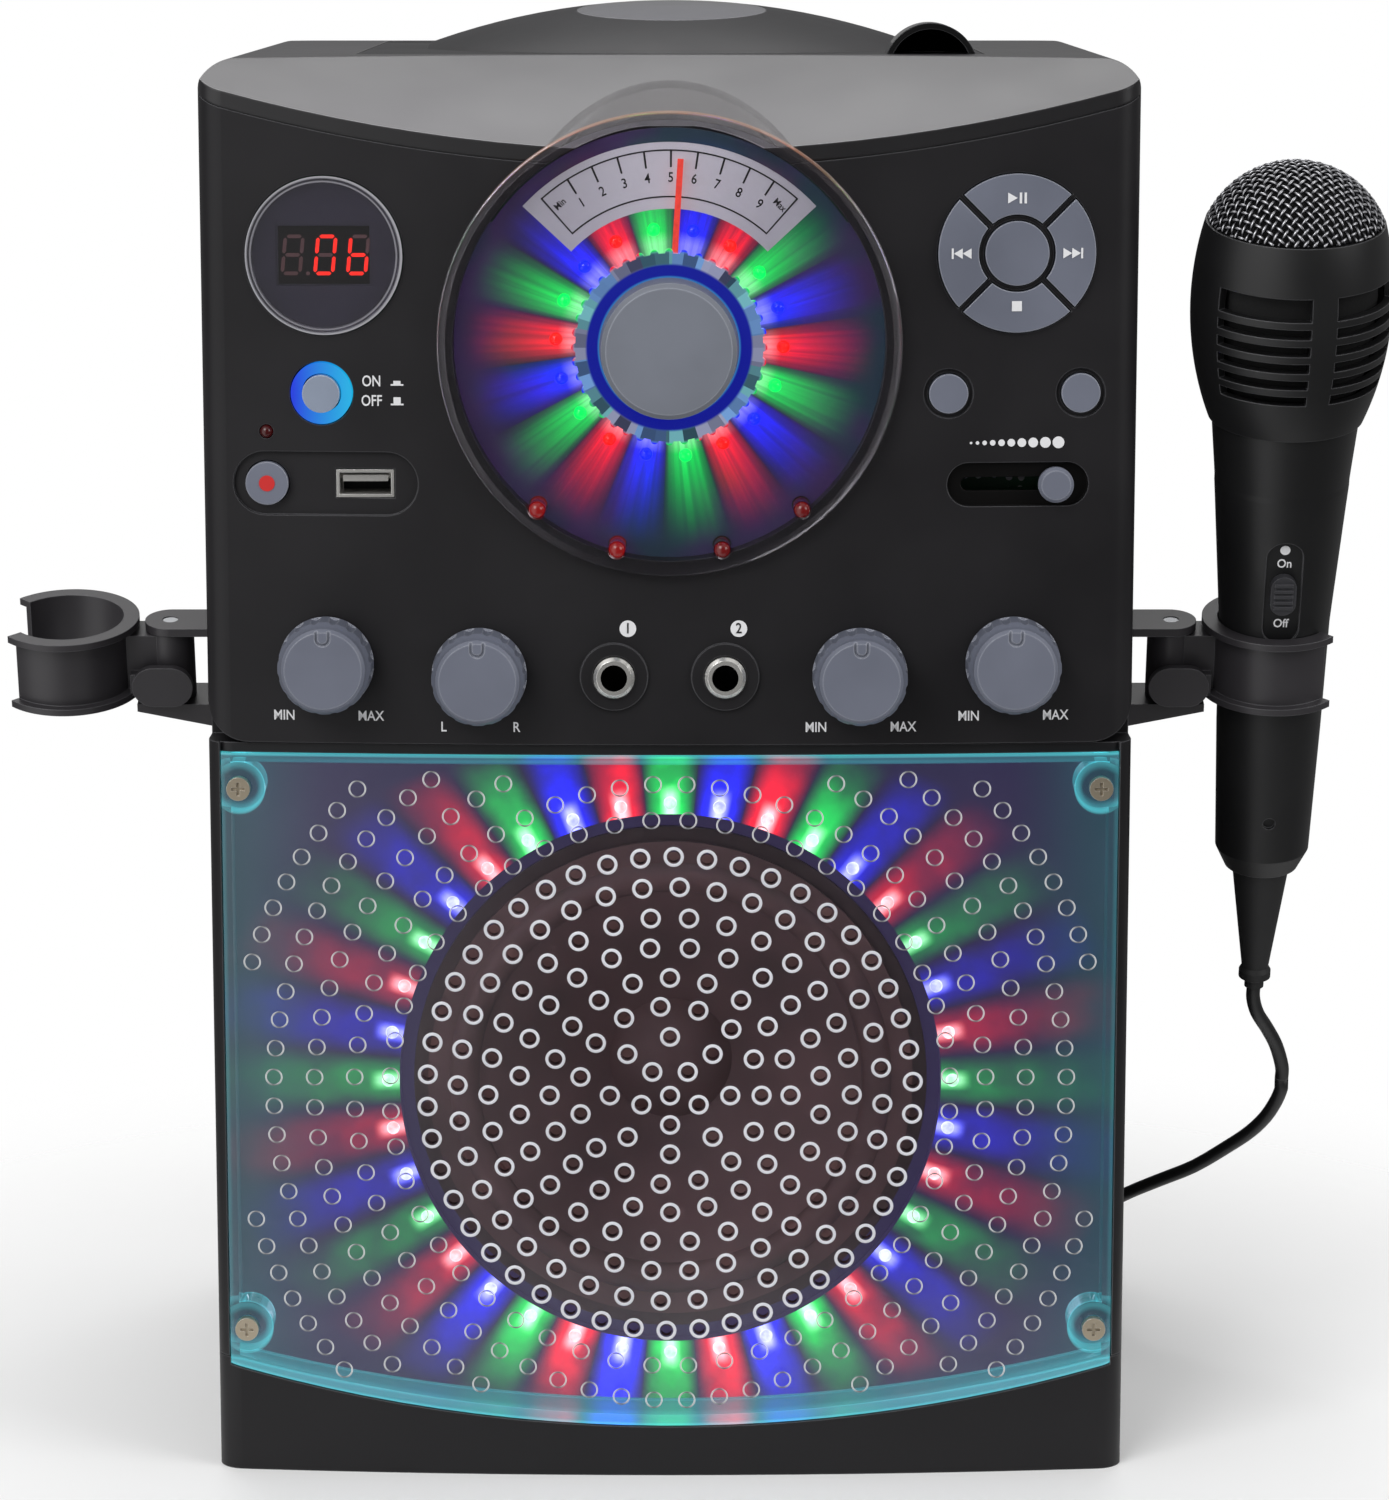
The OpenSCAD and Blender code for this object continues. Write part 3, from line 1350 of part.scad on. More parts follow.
function coil_point(turns) = let (k = floor(turns / 3), u = turns - 3 * k, a = coil_start_a + 360 * turns,
    r = coil_radius(k, u), climb = max(u - coil_turns, 0) / (3 - coil_turns))
    [coil_spot[0] + r * cos(a), coil_spot[1] + r * sin(a), coil_z + coil_pitch * (k + climb)];

function unit(v) = v / norm(v);

// each stretch has straight ends, so that it meets its neighbour squarely
coil_turned = [for (i = [0 : coil_total * coil_rings]) coil_point(i / coil_rings)];
coil_in = unit(coil_turned[1] - coil_turned[0]);
coil_out = unit(coil_turned[len(coil_turned) - 1] - coil_turned[len(coil_turned) - 2]);
coil_first = coil_turned[0] - cord_d * coil_in;
coil_last = coil_turned[len(coil_turned) - 1] + cord_d * coil_out;
coil_points = concat([coil_first], coil_turned, [coil_last]);
join_step = 4 * unit(join_dir);
drop_line = concat([cord_start, cord_start + cord_d * cord_drop_dir], drop_points,
    [join_point - join_step, join_point]);
run_line = concat([join_point], smooth(concat([join_point + join_step], run_points,
    [coil_first - 2 * cord_d * coil_in, coil_first - cord_d * coil_in]), 2), [coil_first]);
tail_line = concat([coil_last], smooth(concat([coil_last + cord_d * coil_out], tail_points,
    [plug_spot - cord_d * plug_dir]), 2), [plug_spot]);

function length_of(p) = let (parts = [for (i = [1 : len(p) - 1]) norm(p[i] - p[i - 1])])
    parts * [for (x = parts) 1];

// least distance between turns, from points that lie at least half a turn apart
coil_gap = min([for (i = [0 : len(coil_points) - coil_rings / 2 - 1],
    j = [i + coil_rings / 2 : len(coil_points) - 1]) norm(coil_points[i] - coil_points[j])]) - cord_d;
echo(coil_gap = coil_gap, drop = length_of(drop_line), run = length_of(run_line),
    coil = length_of(coil_points), tail = length_of(tail_line));

function heading(p, i) = unit(along(p, i + 1) - along(p, i - 1));
function side_of(t) = unit(cross(t, abs(t[2]) > 0.9 ? [1, 0, 0] : [0, 0, 1]));
// the ring's frame is carried from point to point, so that the tube doesn't twist
function frames(p, i = 0, s = undef) = i == len(p) ? [] : let (t = heading(p, i),
    now = s == undef ? side_of(t) : unit(s - (s * t) * t)) concat([[t, now]], frames(p, i + 1, now));

module tube(points, sides) {
    turned = frames(points);
    rings = [for (i = [0 : len(points) - 1], k = [0 : sides - 1]) let (a = k * 360 / sides)
        points[i] + cord_d / 2 * (turned[i][1] * cos(a) + cross(turned[i][0], turned[i][1]) * sin(a))];
    last = (len(points) - 1) * sides;
    walls = [for (i = [0 : len(points) - 2], k = [0 : sides - 1]) let (a = i * sides + k,
        b = i * sides + (k + 1) % sides) [[a, a + sides, b], [b, a + sides, b + sides]]];
    caps = [for (k = [1 : sides - 2]) [[0, k, k + 1], [last, last + k + 1, last + k]]];
    polyhedron(points = rings, faces = [for (group = concat(walls, caps), face = group) face]);
}

module cord_drop() {
    color("#141415") tube(drop_line, 8);
}

module cord_run() {
    color("#141415") {
        tube(run_line, 8);
        tube(tail_line, 8);
    }
}

module cord_coil() {
    color("#141415") tube(coil_points, 6);
}

module cord_plug() {
    color("#b9bbc0") translate(plug_spot - [0.1, 0, 0]) rotate([0, -90, 0]) {
        rotate_extrude() polygon([[0, 0], [3, 0], [3.4, 10], [plug_r, 11], [plug_r, 40], [4, 41],
            [3.17, 41], [3.17, 67], [2.5, 69], [2.9, 70.5], [0, 73]]);
    }
}

base_tray();
rubber_feet();
cabinet();
rear_sockets();
case_screws();
top_deck();
disc_tray();
disc_lid();
lid_window();
lid_pull();
steel_pins();
turntable();
drive_motors();
laser_sled();
sled_gear();
front_panel();
dial_lens();
scale_plate();
lights();
needle();
idler_gear();
volume_shaft();
volume_knob();
volume_skirt();
left_outer_knob();
left_inner_knob();
right_inner_knob();
right_outer_knob();
display_lens();
display_module();
power_button();
record_button();
usb_port();
mic_jacks();
play_button();
stop_button();
back_button();
next_button();
middle_button();
left_function_button();
right_function_button();
slider_knob();
circuit_boards();
transformer();
clear_cover();
speaker_baffle();
speaker_frame();
speaker_cone();
holder_brackets();
left_holder();
right_holder();
mic_grille();
mic_head();
mic_handle();
mic_switch();
strain_relief();
cord_drop();
cord_run();
cord_coil();
cord_plug();
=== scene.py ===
import math

import bpy
import numpy as np
from mathutils import Matrix, Vector


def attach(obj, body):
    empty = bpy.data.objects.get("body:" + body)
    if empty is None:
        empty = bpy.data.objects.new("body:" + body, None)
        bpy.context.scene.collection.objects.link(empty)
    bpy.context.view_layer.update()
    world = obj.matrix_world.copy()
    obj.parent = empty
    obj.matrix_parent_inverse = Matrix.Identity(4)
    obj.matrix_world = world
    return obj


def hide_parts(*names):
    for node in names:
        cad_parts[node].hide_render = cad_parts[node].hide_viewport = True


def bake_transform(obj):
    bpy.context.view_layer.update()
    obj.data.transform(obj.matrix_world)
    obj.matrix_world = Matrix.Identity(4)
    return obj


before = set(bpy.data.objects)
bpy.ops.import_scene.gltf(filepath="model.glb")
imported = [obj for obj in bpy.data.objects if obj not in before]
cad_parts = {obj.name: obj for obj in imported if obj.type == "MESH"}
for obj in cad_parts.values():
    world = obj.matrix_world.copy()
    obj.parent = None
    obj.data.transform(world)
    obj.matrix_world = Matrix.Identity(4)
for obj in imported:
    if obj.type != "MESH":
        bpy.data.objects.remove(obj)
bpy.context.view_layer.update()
scene = bpy.context.scene
scene.view_settings.view_transform = "Standard"

# ---- Viewpoint ----
# A long lens in front of the machine, 1.2 m from its face and a little above it, looking
# down by ten degrees, so that the hollow slope and the lid show over the front.
camera = bpy.data.objects.new("camera", bpy.data.cameras.new("camera"))
scene.collection.objects.link(camera)
# the sensor's width in mm, the photograph's height and the lens's length in its pixels, and the tilt
sensor, photo_high, focal, tilt_down = 36, 1500, 4800, 9.8
camera.data.sensor_width = sensor
camera.data.lens = focal / photo_high * sensor
camera.location = (0.00625, -1.300, 0.397)
camera.rotation_euler = (math.radians(90 - tilt_down), 0, 0)
camera.data.clip_start, camera.data.clip_end = 0.05, 20
scene.camera = camera

# ---- Floor and studio light ----
# White sweep under soft boxes: one above and behind that runs along the slope and the lid's
# dome, one high at the front left and a weak one at the right.


def linear(colour):
    """An sRGB hex colour as the linear numbers that a shader takes."""
    parts = [int(colour[i:i + 2], 16) / 255 for i in (1, 3, 5)]
    return tuple(p / 12.92 if p <= 0.04045 else ((p + 0.055) / 1.055) ** 2.4 for p in parts) + (1,)


def feed(node, sockets):
    """Gives a node's sockets their values or links; a node as value means its first output in use."""
    for name, value in sockets.items():
        if isinstance(value, bpy.types.Node):
            value = next(out for out in value.outputs if out.enabled)
        if isinstance(value, bpy.types.NodeSocket):
            node.id_data.links.new(value, node.inputs[name])
        else:
            node.inputs[name].default_value = value


def add(tree, kind, sockets=None, **settings):
    """Adds a shader node with its settings and what its sockets are fed."""
    made = tree.nodes.new("ShaderNode" + kind)
    for name, value in settings.items():
        setattr(made, name, value)
    feed(made, sockets or {})
    return made


def inside(finish):
    """The node tree of a finish, and its shader."""
    return finish.node_tree, finish.node_tree.nodes["Principled BSDF"]


world = bpy.data.worlds.new("studio")
world.use_nodes = True
scene.world = world
tree = world.node_tree
tree.nodes.clear()
ray = add(tree, "LightPath")
seen = add(tree, "Math", {0: ray.outputs["Is Camera Ray"], 1: ray.outputs["Is Glossy Ray"]},
           operation="MAXIMUM")
seen = add(tree, "Math", {0: seen, 1: ray.outputs["Is Transmission Ray"]}, operation="MAXIMUM")
level = add(tree, "MapRange", {0: seen, 3: 0.5, 4: 1.0})
# reflections see the studio's dark end behind the camera and its white wall and ceiling
way = add(tree, "SeparateXYZ", {0: add(tree, "TexCoord").outputs["Generated"]})
wall = add(tree, "MapRange", {0: way.outputs["Y"], 1: -0.2, 2: 0.5, 3: 0.1, 4: 0.2})
ceiling = add(tree, "MapRange", {0: way.outputs["Z"], 1: 0.5, 2: 0.85, 3: 0.0, 4: 0.6})
left = add(tree, "MapRange", {0: way.outputs["X"], 1: -0.06, 2: -0.5, 3: 0.0, 4: 1.1})
ahead = add(tree, "MapRange", {0: way.outputs["Y"], 1: 0.0, 2: -0.3})
left = add(tree, "Math", {0: left, 1: ahead}, operation="MULTIPLY")
room = add(tree, "Math", {0: wall, 1: ceiling}, operation="ADD")
room = add(tree, "Math", {0: room, 1: left}, operation="ADD")
shiny = add(tree, "Mix", {0: ray.outputs["Is Glossy Ray"], "A": 1.0, "B": room}, data_type="FLOAT")
level = add(tree, "Math", {0: level, 1: shiny}, operation="MULTIPLY")
sky = add(tree, "Background", {"Color": (1, 1, 1, 1), "Strength": level})
add(tree, "OutputWorld", {"Surface": sky})

# each soft box: its name, its place, what it points at, its width and depth in metres, and its watts
for name, place, aim, wide, deep, power in [
        ("rear_box", (0, 1.04, 1.89), (0, -0.08, 0.35), 1.7, 0.75, 13),
        ("front_box", (-0.9, -1.5, 1.5), (0, -0.1, 0.2), 1.2, 1.2, 20),
        ("side_box", (1.5, -0.9, 0.9), (0, 0, 0.2), 1.0, 1.0, 10)]:
    lamp = bpy.data.lights.new(name, "AREA")
    lamp.shape = "RECTANGLE"
    lamp.size, lamp.size_y, lamp.energy = wide, deep, power
    box = bpy.data.objects.new(name, lamp)
    scene.collection.objects.link(box)
    box.location = place
    box.rotation_euler = (Vector(aim) - Vector(place)).to_track_quat("-Z", "Y").to_euler()

floor_mesh = bpy.data.meshes.new("floor")
# the floor reaches 6 m to each side
half = 6
corners = [(-half, -half, 0), (half, -half, 0), (half, half, 0), (-half, half, 0)]
floor_mesh.from_pydata(corners, [], [(0, 1, 2, 3)])
floor = bpy.data.objects.new("floor", floor_mesh)
scene.collection.objects.link(floor)
# White paper that keeps the shadow round the machine and runs out into the white behind
paper = bpy.data.materials.new("white paper sweep")
paper.use_nodes = True
tree, shader = inside(paper)
feed(shader, {"Base Color": linear("#ffffff"), "Roughness": 0.9})
spot = add(tree, "TexCoord").outputs["Object"]
far = add(tree, "VectorMath", {0: spot}, operation="LENGTH")
solid = add(tree, "MapRange", {0: far, 1: 0.15, 2: 0.38, 3: 1.0, 4: 0.0}, interpolation_type="SMOOTHSTEP")
feed(shader, {"Alpha": solid})
floor_mesh.materials.append(paper)

# ---- Microphone cord, in two free stretches and a coil ----
# Soft black PVC cord, 3.8 mm thick and 1.92 m long. It leaves the boot under the handle, drops
# to the floor beside the case and is put away behind it in a coil held by a wire tie.


def grained(name, colour, roughness, grain, depth, edge=0.0, mottle=0.12, edge_light="#77777b", **sockets):
    """A moulded or cast finish: its grain in mm as relief, a slow change of gloss and tone, and
    edges that are softened and painted paler, a painted highlight where they catch the light."""
    made = bpy.data.materials.new(name)
    made.use_nodes = True
    tree, shader = inside(made)
    place = add(tree, "TexCoord").outputs["Object"]
    fine = add(tree, "TexNoise", {"Vector": place, "Scale": 1000 / grain, "Detail": 3})
    # the slow change runs over patches of about 36 mm
    slow = add(tree, "TexNoise", {"Vector": place, "Scale": 28, "Detail": 4})
    relief = add(tree, "Bump", {"Height": fine, "Strength": 0.35, "Distance": depth / 1000})
    tone = add(tree, "MapRange", {0: slow, 1: 0.3, 2: 0.7, 3: 1 - mottle, 4: 1 + mottle})
    shade = add(tree, "VectorMath", {0: linear(colour)[:3], "Scale": tone}, operation="SCALE")
    if edge:
        rounded = add(tree, "Bevel", {"Radius": edge / 1000}, samples=4)
        feed(relief, {"Normal": rounded})
        flat = add(tree, "NewGeometry").outputs["Normal"]
        turn = add(tree, "VectorMath", {0: rounded, 1: flat}, operation="DOT_PRODUCT")
        # painted highlight: where the bevelled normal bends away from the face, the colour turns toward the
        # pale edge colour
        edge_highlight = add(tree, "MapRange", {0: turn, 1: 0.99, 2: 0.8, 3: 0.0, 4: 0.65})
        shade = add(tree, "Mix", {0: edge_highlight, "A": shade, "B": linear(edge_light)}, data_type="RGBA")
    gloss = add(tree, "MapRange", {0: slow, 1: 0.3, 2: 0.7, 3: roughness * 0.88,
                                   4: min(1, roughness * 1.12)})
    feed(shader, {"Base Color": shade, "Roughness": gloss, "Normal": relief})
    feed(shader, {socket.replace("_", " "): value for socket, value in sockets.items()})
    return made


def piece(name, points, faces, finish, body=None, slot=None, smooth=True):
    """Makes a mesh piece, shades it, and gives it its body; slot is not used."""
    shape = bpy.data.meshes.new(name)
    shape.from_pydata([tuple(p) for p in points], [], faces)
    shape.materials.append(finish)
    shape.polygons.foreach_set("use_smooth", [smooth] * len(faces))
    shape.update()
    made = bpy.data.objects.new(name, shape)
    scene.collection.objects.link(made)
    if body:
        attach(made, body)
    return made


def skin(rows, n):
    """Faces that join rows of n points each into a tube."""
    return [(i * n + k, (i + 1) * n + k, (i + 1) * n + (k + 1) % n, i * n + (k + 1) % n)
            for i in range(rows - 1) for k in range(n)]


def swept(path, ring):
    """Points and faces of a cross-section, ring, carried along path without twisting."""
    path = [Vector(p) for p in path]
    points, n, side = [], len(ring), None
    for i, here in enumerate(path):
        ahead = (path[min(i + 1, len(path) - 1)] - path[max(i - 1, 0)]).normalized()
        if side is None:
            side = ahead.cross(Vector((1, 0, 0)) if abs(ahead.z) > 0.9 else Vector((0, 0, 1))).normalized()
        side = (side - side.dot(ahead) * ahead).normalized()
        up = ahead.cross(side)
        points += [here + side * a + up * b for a, b in ring]
    faces = skin(len(path), n) + [tuple(range(n)), tuple(reversed(range((len(path) - 1) * n, len(path) * n)))]
    return points, faces


def circle(r, n):
    return [(r * math.cos(2 * math.pi * k / n), r * math.sin(2 * math.pi * k / n)) for k in range(n)]


def through(points, steps):
    """A smooth line through the points, with so many steps between each two."""
    p = [Vector(q) for q in points]
    line = []
    for i in range(len(p) - 1):
        a, b, c, d = p[max(i - 1, 0)], p[i], p[i + 1], p[min(i + 2, len(p) - 1)]
        for k in range(steps):
            u = k / steps
            line.append(0.5 * (2 * b + (c - a) * u + (2 * a - 5 * b + 4 * c - d) * u * u
                               + (3 * b - a - 3 * c + d) * u ** 3))
    return line + [p[-1]]


def metres(points):
    return [Vector(p) / 1000 for p in points]


# Soft PVC: near black, with a slight sheen and fine drag lines too small to draw
cord_skin = grained("soft PVC cord", "#161617", 0.42, 1.2, 0.05)
cord_d = 0.0038
lean = math.radians(15)
cord_start = Vector((0.158, -0.02748, 0.11246))
down = Vector((0, math.sin(lean), -math.cos(lean)))
join = Vector((0.168, -0.012, 0.083))
join_step = 0.004 * Vector((0.05, 0.42, -0.9)).normalized()

drop_line = through([cord_start, cord_start + cord_d * down]
                    + metres([(159.4, -24.6, 104.2), (162.6, -21, 99), (165.6, -17.5, 93.4)])
                    + [join - join_step, join], 4)
cord_top = piece("cord_top", *swept(drop_line, circle(cord_d / 2, 16)), cord_skin, slot="rubber")
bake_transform(cord_top)
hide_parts("cord_drop")

# the coil, in mm: layers of three turns, wound inwards and outwards in turn, a step of 4.8 apart
coil_x, coil_y, coil_r, coil_step = 66, 136, (17, 29), 4.8
coil_line = []
for i in range(24 * 11 + 7):
    turns = i / 24
    k, u = int(turns // 3), turns % 3
    inner, outer = coil_r
    if u < 2.5:
        reach = outer - coil_step * u if k % 2 == 0 else inner + coil_step * u
    else:
        reach = inner if k % 2 == 0 else outer
    a = math.radians(45) + 2 * math.pi * turns
    coil_line.append(Vector((coil_x + reach * math.cos(a), coil_y + reach * math.sin(a),
                             2.2 + coil_step * (k + max(u - 2.5, 0) / 0.5))) / 1000)
coil_in = (coil_line[1] - coil_line[0]).normalized()
coil_out = (coil_line[-1] - coil_line[-2]).normalized()
coil_line = [coil_line[0] - cord_d * coil_in] + coil_line + [coil_line[-1] + cord_d * coil_out]
plug_spot = Vector((-0.004, 0.125, 0.0062))
run_line = [join] + through([join + join_step] + metres([
    (167.2, -8, 75.5), (164.8, -4.5, 70), (161, 0, 64.5), (155.5, 5, 59), (147, 12, 51.5), (138, 20, 45.3),
    (130, 30, 38.8), (125.5, 44, 31.5), (124, 60, 23.5), (123.5, 78, 15), (123.4, 94, 8.2), (123, 108, 3.6),
    (120, 120, 2.2), (112, 131, 2.2)]) + [coil_line[0] - d * cord_d * coil_in for d in (2, 1)], 3)
tail_line = through([coil_line[-1] + cord_d * coil_out]
                    + metres([(33, 142.5, 15), (22, 134.5, 10.6), (11, 128, 7.4)])
                    + [plug_spot + Vector((cord_d, 0, 0))], 3) + [plug_spot]
cord_line = run_line + coil_line + tail_line
cord_low = piece("cord_low", *swept(cord_line, circle(cord_d / 2, 12)), cord_skin, slot="rubber")
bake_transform(cord_low)
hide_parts("cord_run", "cord_coil")

# The tie: a flat PVC strip with a wire in it, passed under the coil and twisted on top
tie_a = math.radians(200)
tie_out = Vector((math.cos(tie_a), math.sin(tie_a), 0))
tie_spot = Vector((0.066, 0.136, 0))
tie_loop = [(13.9, 3.2), (14.1, 1.2), (15.4, 0.3), (23, 0.16), (30.4, 0.3), (31.8, 1.2), (32.1, 3.2),
            (32.1, 9), (32.0, 15.6), (31, 18.4), (28.6, 19.3), (23.4, 19.7)]
tie_side = [(23.4, 19.7), (18, 19.4), (15.2, 18.6), (14, 16.2), (13.9, 9), (13.9, 3.2)]
tie_path = [tie_spot + tie_out * r / 1000 + Vector((0, 0, z / 1000)) for r, z in tie_side[:-1] + tie_loop]
tie_across = tie_out.cross(Vector((0, 0, 1)))
tie_ring = [(-1.9, -0.14), (-0.5, -0.14), (0, -0.3), (0.5, -0.14), (1.9, -0.14), (1.9, 0.14), (0.5, 0.14),
            (0, 0.3), (-0.5, 0.14), (-1.9, 0.14)]
tie_points = []
for i, here in enumerate(tie_path):
    ahead = (tie_path[min(i + 1, len(tie_path) - 1)] - tie_path[max(i - 1, 0)]).normalized()
    thick = ahead.cross(tie_across).normalized()
    for a, b in tie_ring:
        b = b if here.z > 0.001 else max(min(b, 0.12), -0.12)
        tie_points.append(here + tie_across * a / 1000 + thick * b / 1000)
tie_skin = grained("ribbed tie strip", "#1d1d1f", 0.5, 0.9, 0.08)
wire_tie = piece("wire_tie", tie_points, skin(len(tie_path), len(tie_ring)), tie_skin, "case", "rubber")
for name, side in (("tie_twist_a", 0), ("tie_twist_b", math.pi)):
    twist = [tie_path[0] + Vector((0, 0, 0.0003 + 0.0009 * t)) + (tie_out * math.cos(side + t * 1.1)
             + tie_across * math.sin(side + t * 1.1)) * 0.0009 for t in np.linspace(0, 9, 40)]
    piece(name, *swept(twist, circle(0.0005, 6)), tie_skin, "case", "rubber")

# The plug: nickel-plated brass with a black sleeve, 6.35 mm across


def dress(finish, *nodes):
    """Gives CAD nodes a finish."""
    for name in nodes:
        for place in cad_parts[name].material_slots:
            place.material = finish


plug_finish = grained("nickel plate and sleeve", "#c2c3c6", 0.22, 0.8, 0.004, mottle=0.05)
tree, shader = inside(plug_finish)
across = add(tree, "SeparateXYZ", {0: add(tree, "TexCoord").outputs["Object"]})
sleeve_end, band_x = -0.0447, -0.0723
sleeve = add(tree, "Math", {0: across.outputs["X"], 1: sleeve_end}, operation="GREATER_THAN")
band = add(tree, "Math", {0: across.outputs["X"], 1: band_x}, operation="SUBTRACT")
band = add(tree, "Math", {0: band}, operation="ABSOLUTE")
band = add(tree, "Math", {0: band, 1: 0.0005}, operation="LESS_THAN")
dark = add(tree, "Math", {0: sleeve, 1: band}, operation="MAXIMUM")
colour = add(tree, "Mix", {0: dark, "A": linear("#c2c3c6"), "B": linear("#18181a")},
             data_type="RGBA")
metal = add(tree, "Math", {0: 1.0, 1: dark}, operation="SUBTRACT")
feed(shader, {"Base Color": colour, "Metallic": metal})
dress(plug_finish, "cord_plug")

# ---- Case: base, cabinet and top deck ----
# Injection-moulded ABS in black with a fine spark-eroded grain, screwed together from behind.
# The deck in front of the lid is a polished hollow that mirrors the lights above.
case_black = grained("grained black ABS", "#161517", 0.46, 0.9, 0.03, edge=0.5, Specular_IOR_Level=0.3)
dress(case_black, "base_tray", "cabinet", "disc_tray")
# The deck's upper faces are painted a lighter grey, a painted reflection of the broad soft lights on the
# slope, and a bright painted highlight line runs along its edges
deck_black = grained("satin black ABS", "#434145", 0.36, 0.9, 0.008, edge=0.8, edge_light="#e8e6e9",
                     Specular_IOR_Level=0.5)
tree, shader = inside(deck_black)
flat = add(tree, "SeparateXYZ", {0: add(tree, "NewGeometry").outputs["Normal"]}).outputs["Z"]
upright = add(tree, "Math", {0: flat, 1: 0.5}, operation="LESS_THAN")
plain = shader.inputs["Base Color"].links[0].from_socket
# painted shade: the slope's painted reflection darkens towards its back and its right end
spot = add(tree, "SeparateXYZ", {0: add(tree, "TexCoord").outputs["Object"]})
back = add(tree, "MapRange", {0: spot.outputs["Z"], 1: 0.3628, 2: 0.347, 3: 0.62, 4: 1.2})
right = add(tree, "MapRange", {0: spot.outputs["X"], 1: 0.0, 2: 0.115, 3: 1.0, 4: 0.72})
tone = add(tree, "Math", {0: back, 1: right}, operation="MULTIPLY")
plain = add(tree, "VectorMath", {0: plain, "Scale": tone}, operation="SCALE")
feed(shader, {"Base Color": plain})


def repaint(finish, where, colour):
    """Gives a finish another colour where the mask is 1."""
    tree, shader = inside(finish)
    plain = shader.inputs["Base Color"].links[0].from_socket
    mixed = add(tree, "Mix", {0: where, "A": plain, "B": linear(colour)}, data_type="RGBA")
    feed(shader, {"Base Color": mixed})


# painted reflection: only the upright faces keep the plain black, the upper faces keep the lighter grey
repaint(deck_black, upright, "#1b1a1c")
dress(deck_black, "top_deck")
foot_rubber = grained("moulded foot rubber", "#1a1a1a", 0.85, 1.0, 0.08)
dress(foot_rubber, "rubber_feet")

# ---- Fascia ----
# The bowed front panel, in the same ABS with a finer, darker satin, its edges broken by 0.5 mm.
fascia_black = grained("fine satin black ABS", "#201f21", 0.4, 0.8, 0.02, edge=0.45, Specular_IOR_Level=0.22)
dress(fascia_black, "front_panel")
# the bow's radius, and its centre behind the front
bow_r, bow_y = 1.1535, 1.0475
# The slider's recess is polished and sees no light, so it is painted black as shade
slider_x, slider_z, slider_half = 0.0873, 0.2578, 0.0183
tree, shader = inside(fascia_black)
spot = add(tree, "SeparateXYZ", {0: add(tree, "TexCoord").outputs["Object"]})
across = add(tree, "Math", {0: spot.outputs["X"], 1: spot.outputs["X"]}, operation="MULTIPLY")
across = add(tree, "Math", {0: bow_r * bow_r, 1: across}, operation="SUBTRACT")
across = add(tree, "Math", {0: across}, operation="SQRT")
deep = add(tree, "Math", {0: spot.outputs["Y"], 1: across}, operation="ADD")
deep = add(tree, "Math", {0: deep, 1: bow_y + 0.0005}, operation="GREATER_THAN")
from_slot = add(tree, "CombineXYZ", {0: spot.outputs["X"], 2: spot.outputs["Z"]})
from_slot = add(tree, "VectorMath", {0: from_slot, 1: (slider_x, 0, slider_z)}, operation="DISTANCE")
from_slot = add(tree, "Math", {0: from_slot, 1: slider_half}, operation="LESS_THAN")
deep = add(tree, "Math", {0: deep, 1: from_slot}, operation="MULTIPLY")
repaint(fascia_black, deep, "#040303")


def front_y(x):
    return bow_y - math.sqrt(bow_r * bow_r - x * x)


def on_front(x, z, out):
    """The place on the bowed front at x and z, so far out of it, with Y into the case."""
    return Matrix.Translation((x, front_y(x) - out, z)) @ Matrix.Rotation(math.asin(x / bow_r), 4, "Z")


# Pad-printed ink: a flat off-white with a slightly uneven edge of gloss
ink = grained("pad-printed white ink", "#e4e4e6", 0.6, 0.7, 0.006, mottle=0.04)


def printed(name, words, high, place, finish=ink, body="case", turn=0, narrow=0.86):
    """Letters or numbers printed on a face whose Y points into the part."""
    letters = bpy.data.curves.new(name, "FONT")
    letters.body, letters.size, letters.extrude, letters.offset = words, high / 0.7, 0.00004, 0.00004
    letters.align_x, letters.align_y = "CENTER", "CENTER"
    letters.resolution_u = 3
    letters.materials.append(finish)
    made = bpy.data.objects.new(name, letters)
    scene.collection.objects.link(made)
    made.matrix_world = (place @ Matrix.Rotation(turn, 4, "Y") @ Matrix.Diagonal((narrow, 1, 1, 1))
                         @ Matrix.Rotation(math.pi / 2, 4, "X"))
    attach(made, body)
    return made


def plate(name, outline, place, finish, body="case", slot="gear_white", thick=0.00008):
    """A thin flat shape, or a list of them, on a face whose Y points into the part."""
    shapes = outline if isinstance(outline[0], list) else [outline]
    points, faces = [], []
    for shape in shapes:
        n, first = len(shape), len(points)
        points += [place @ Vector((x, y, z)) for y in (-thick, thick) for x, z in shape]
        faces += [tuple(first + k for k in range(n)), tuple(first + n + k for k in reversed(range(n)))]
        faces += [(first + k, first + n + k, first + n + (k + 1) % n, first + (k + 1) % n) for k in range(n)]
    return piece(name, points, faces, finish, body, slot, smooth=False)


def disc(r, n=32, x=0.0, z=0.0):
    return [(x + r * math.cos(2 * math.pi * k / n), z + r * math.sin(2 * math.pi * k / n)) for k in range(n)]


printed("power_on_word", "ON", 0.0027, on_front(-0.0744, 0.2837, 0.0001), narrow=0.78)
printed("power_off_word", "OFF", 0.0027, on_front(-0.0744, 0.2788, 0.0001), narrow=0.78)
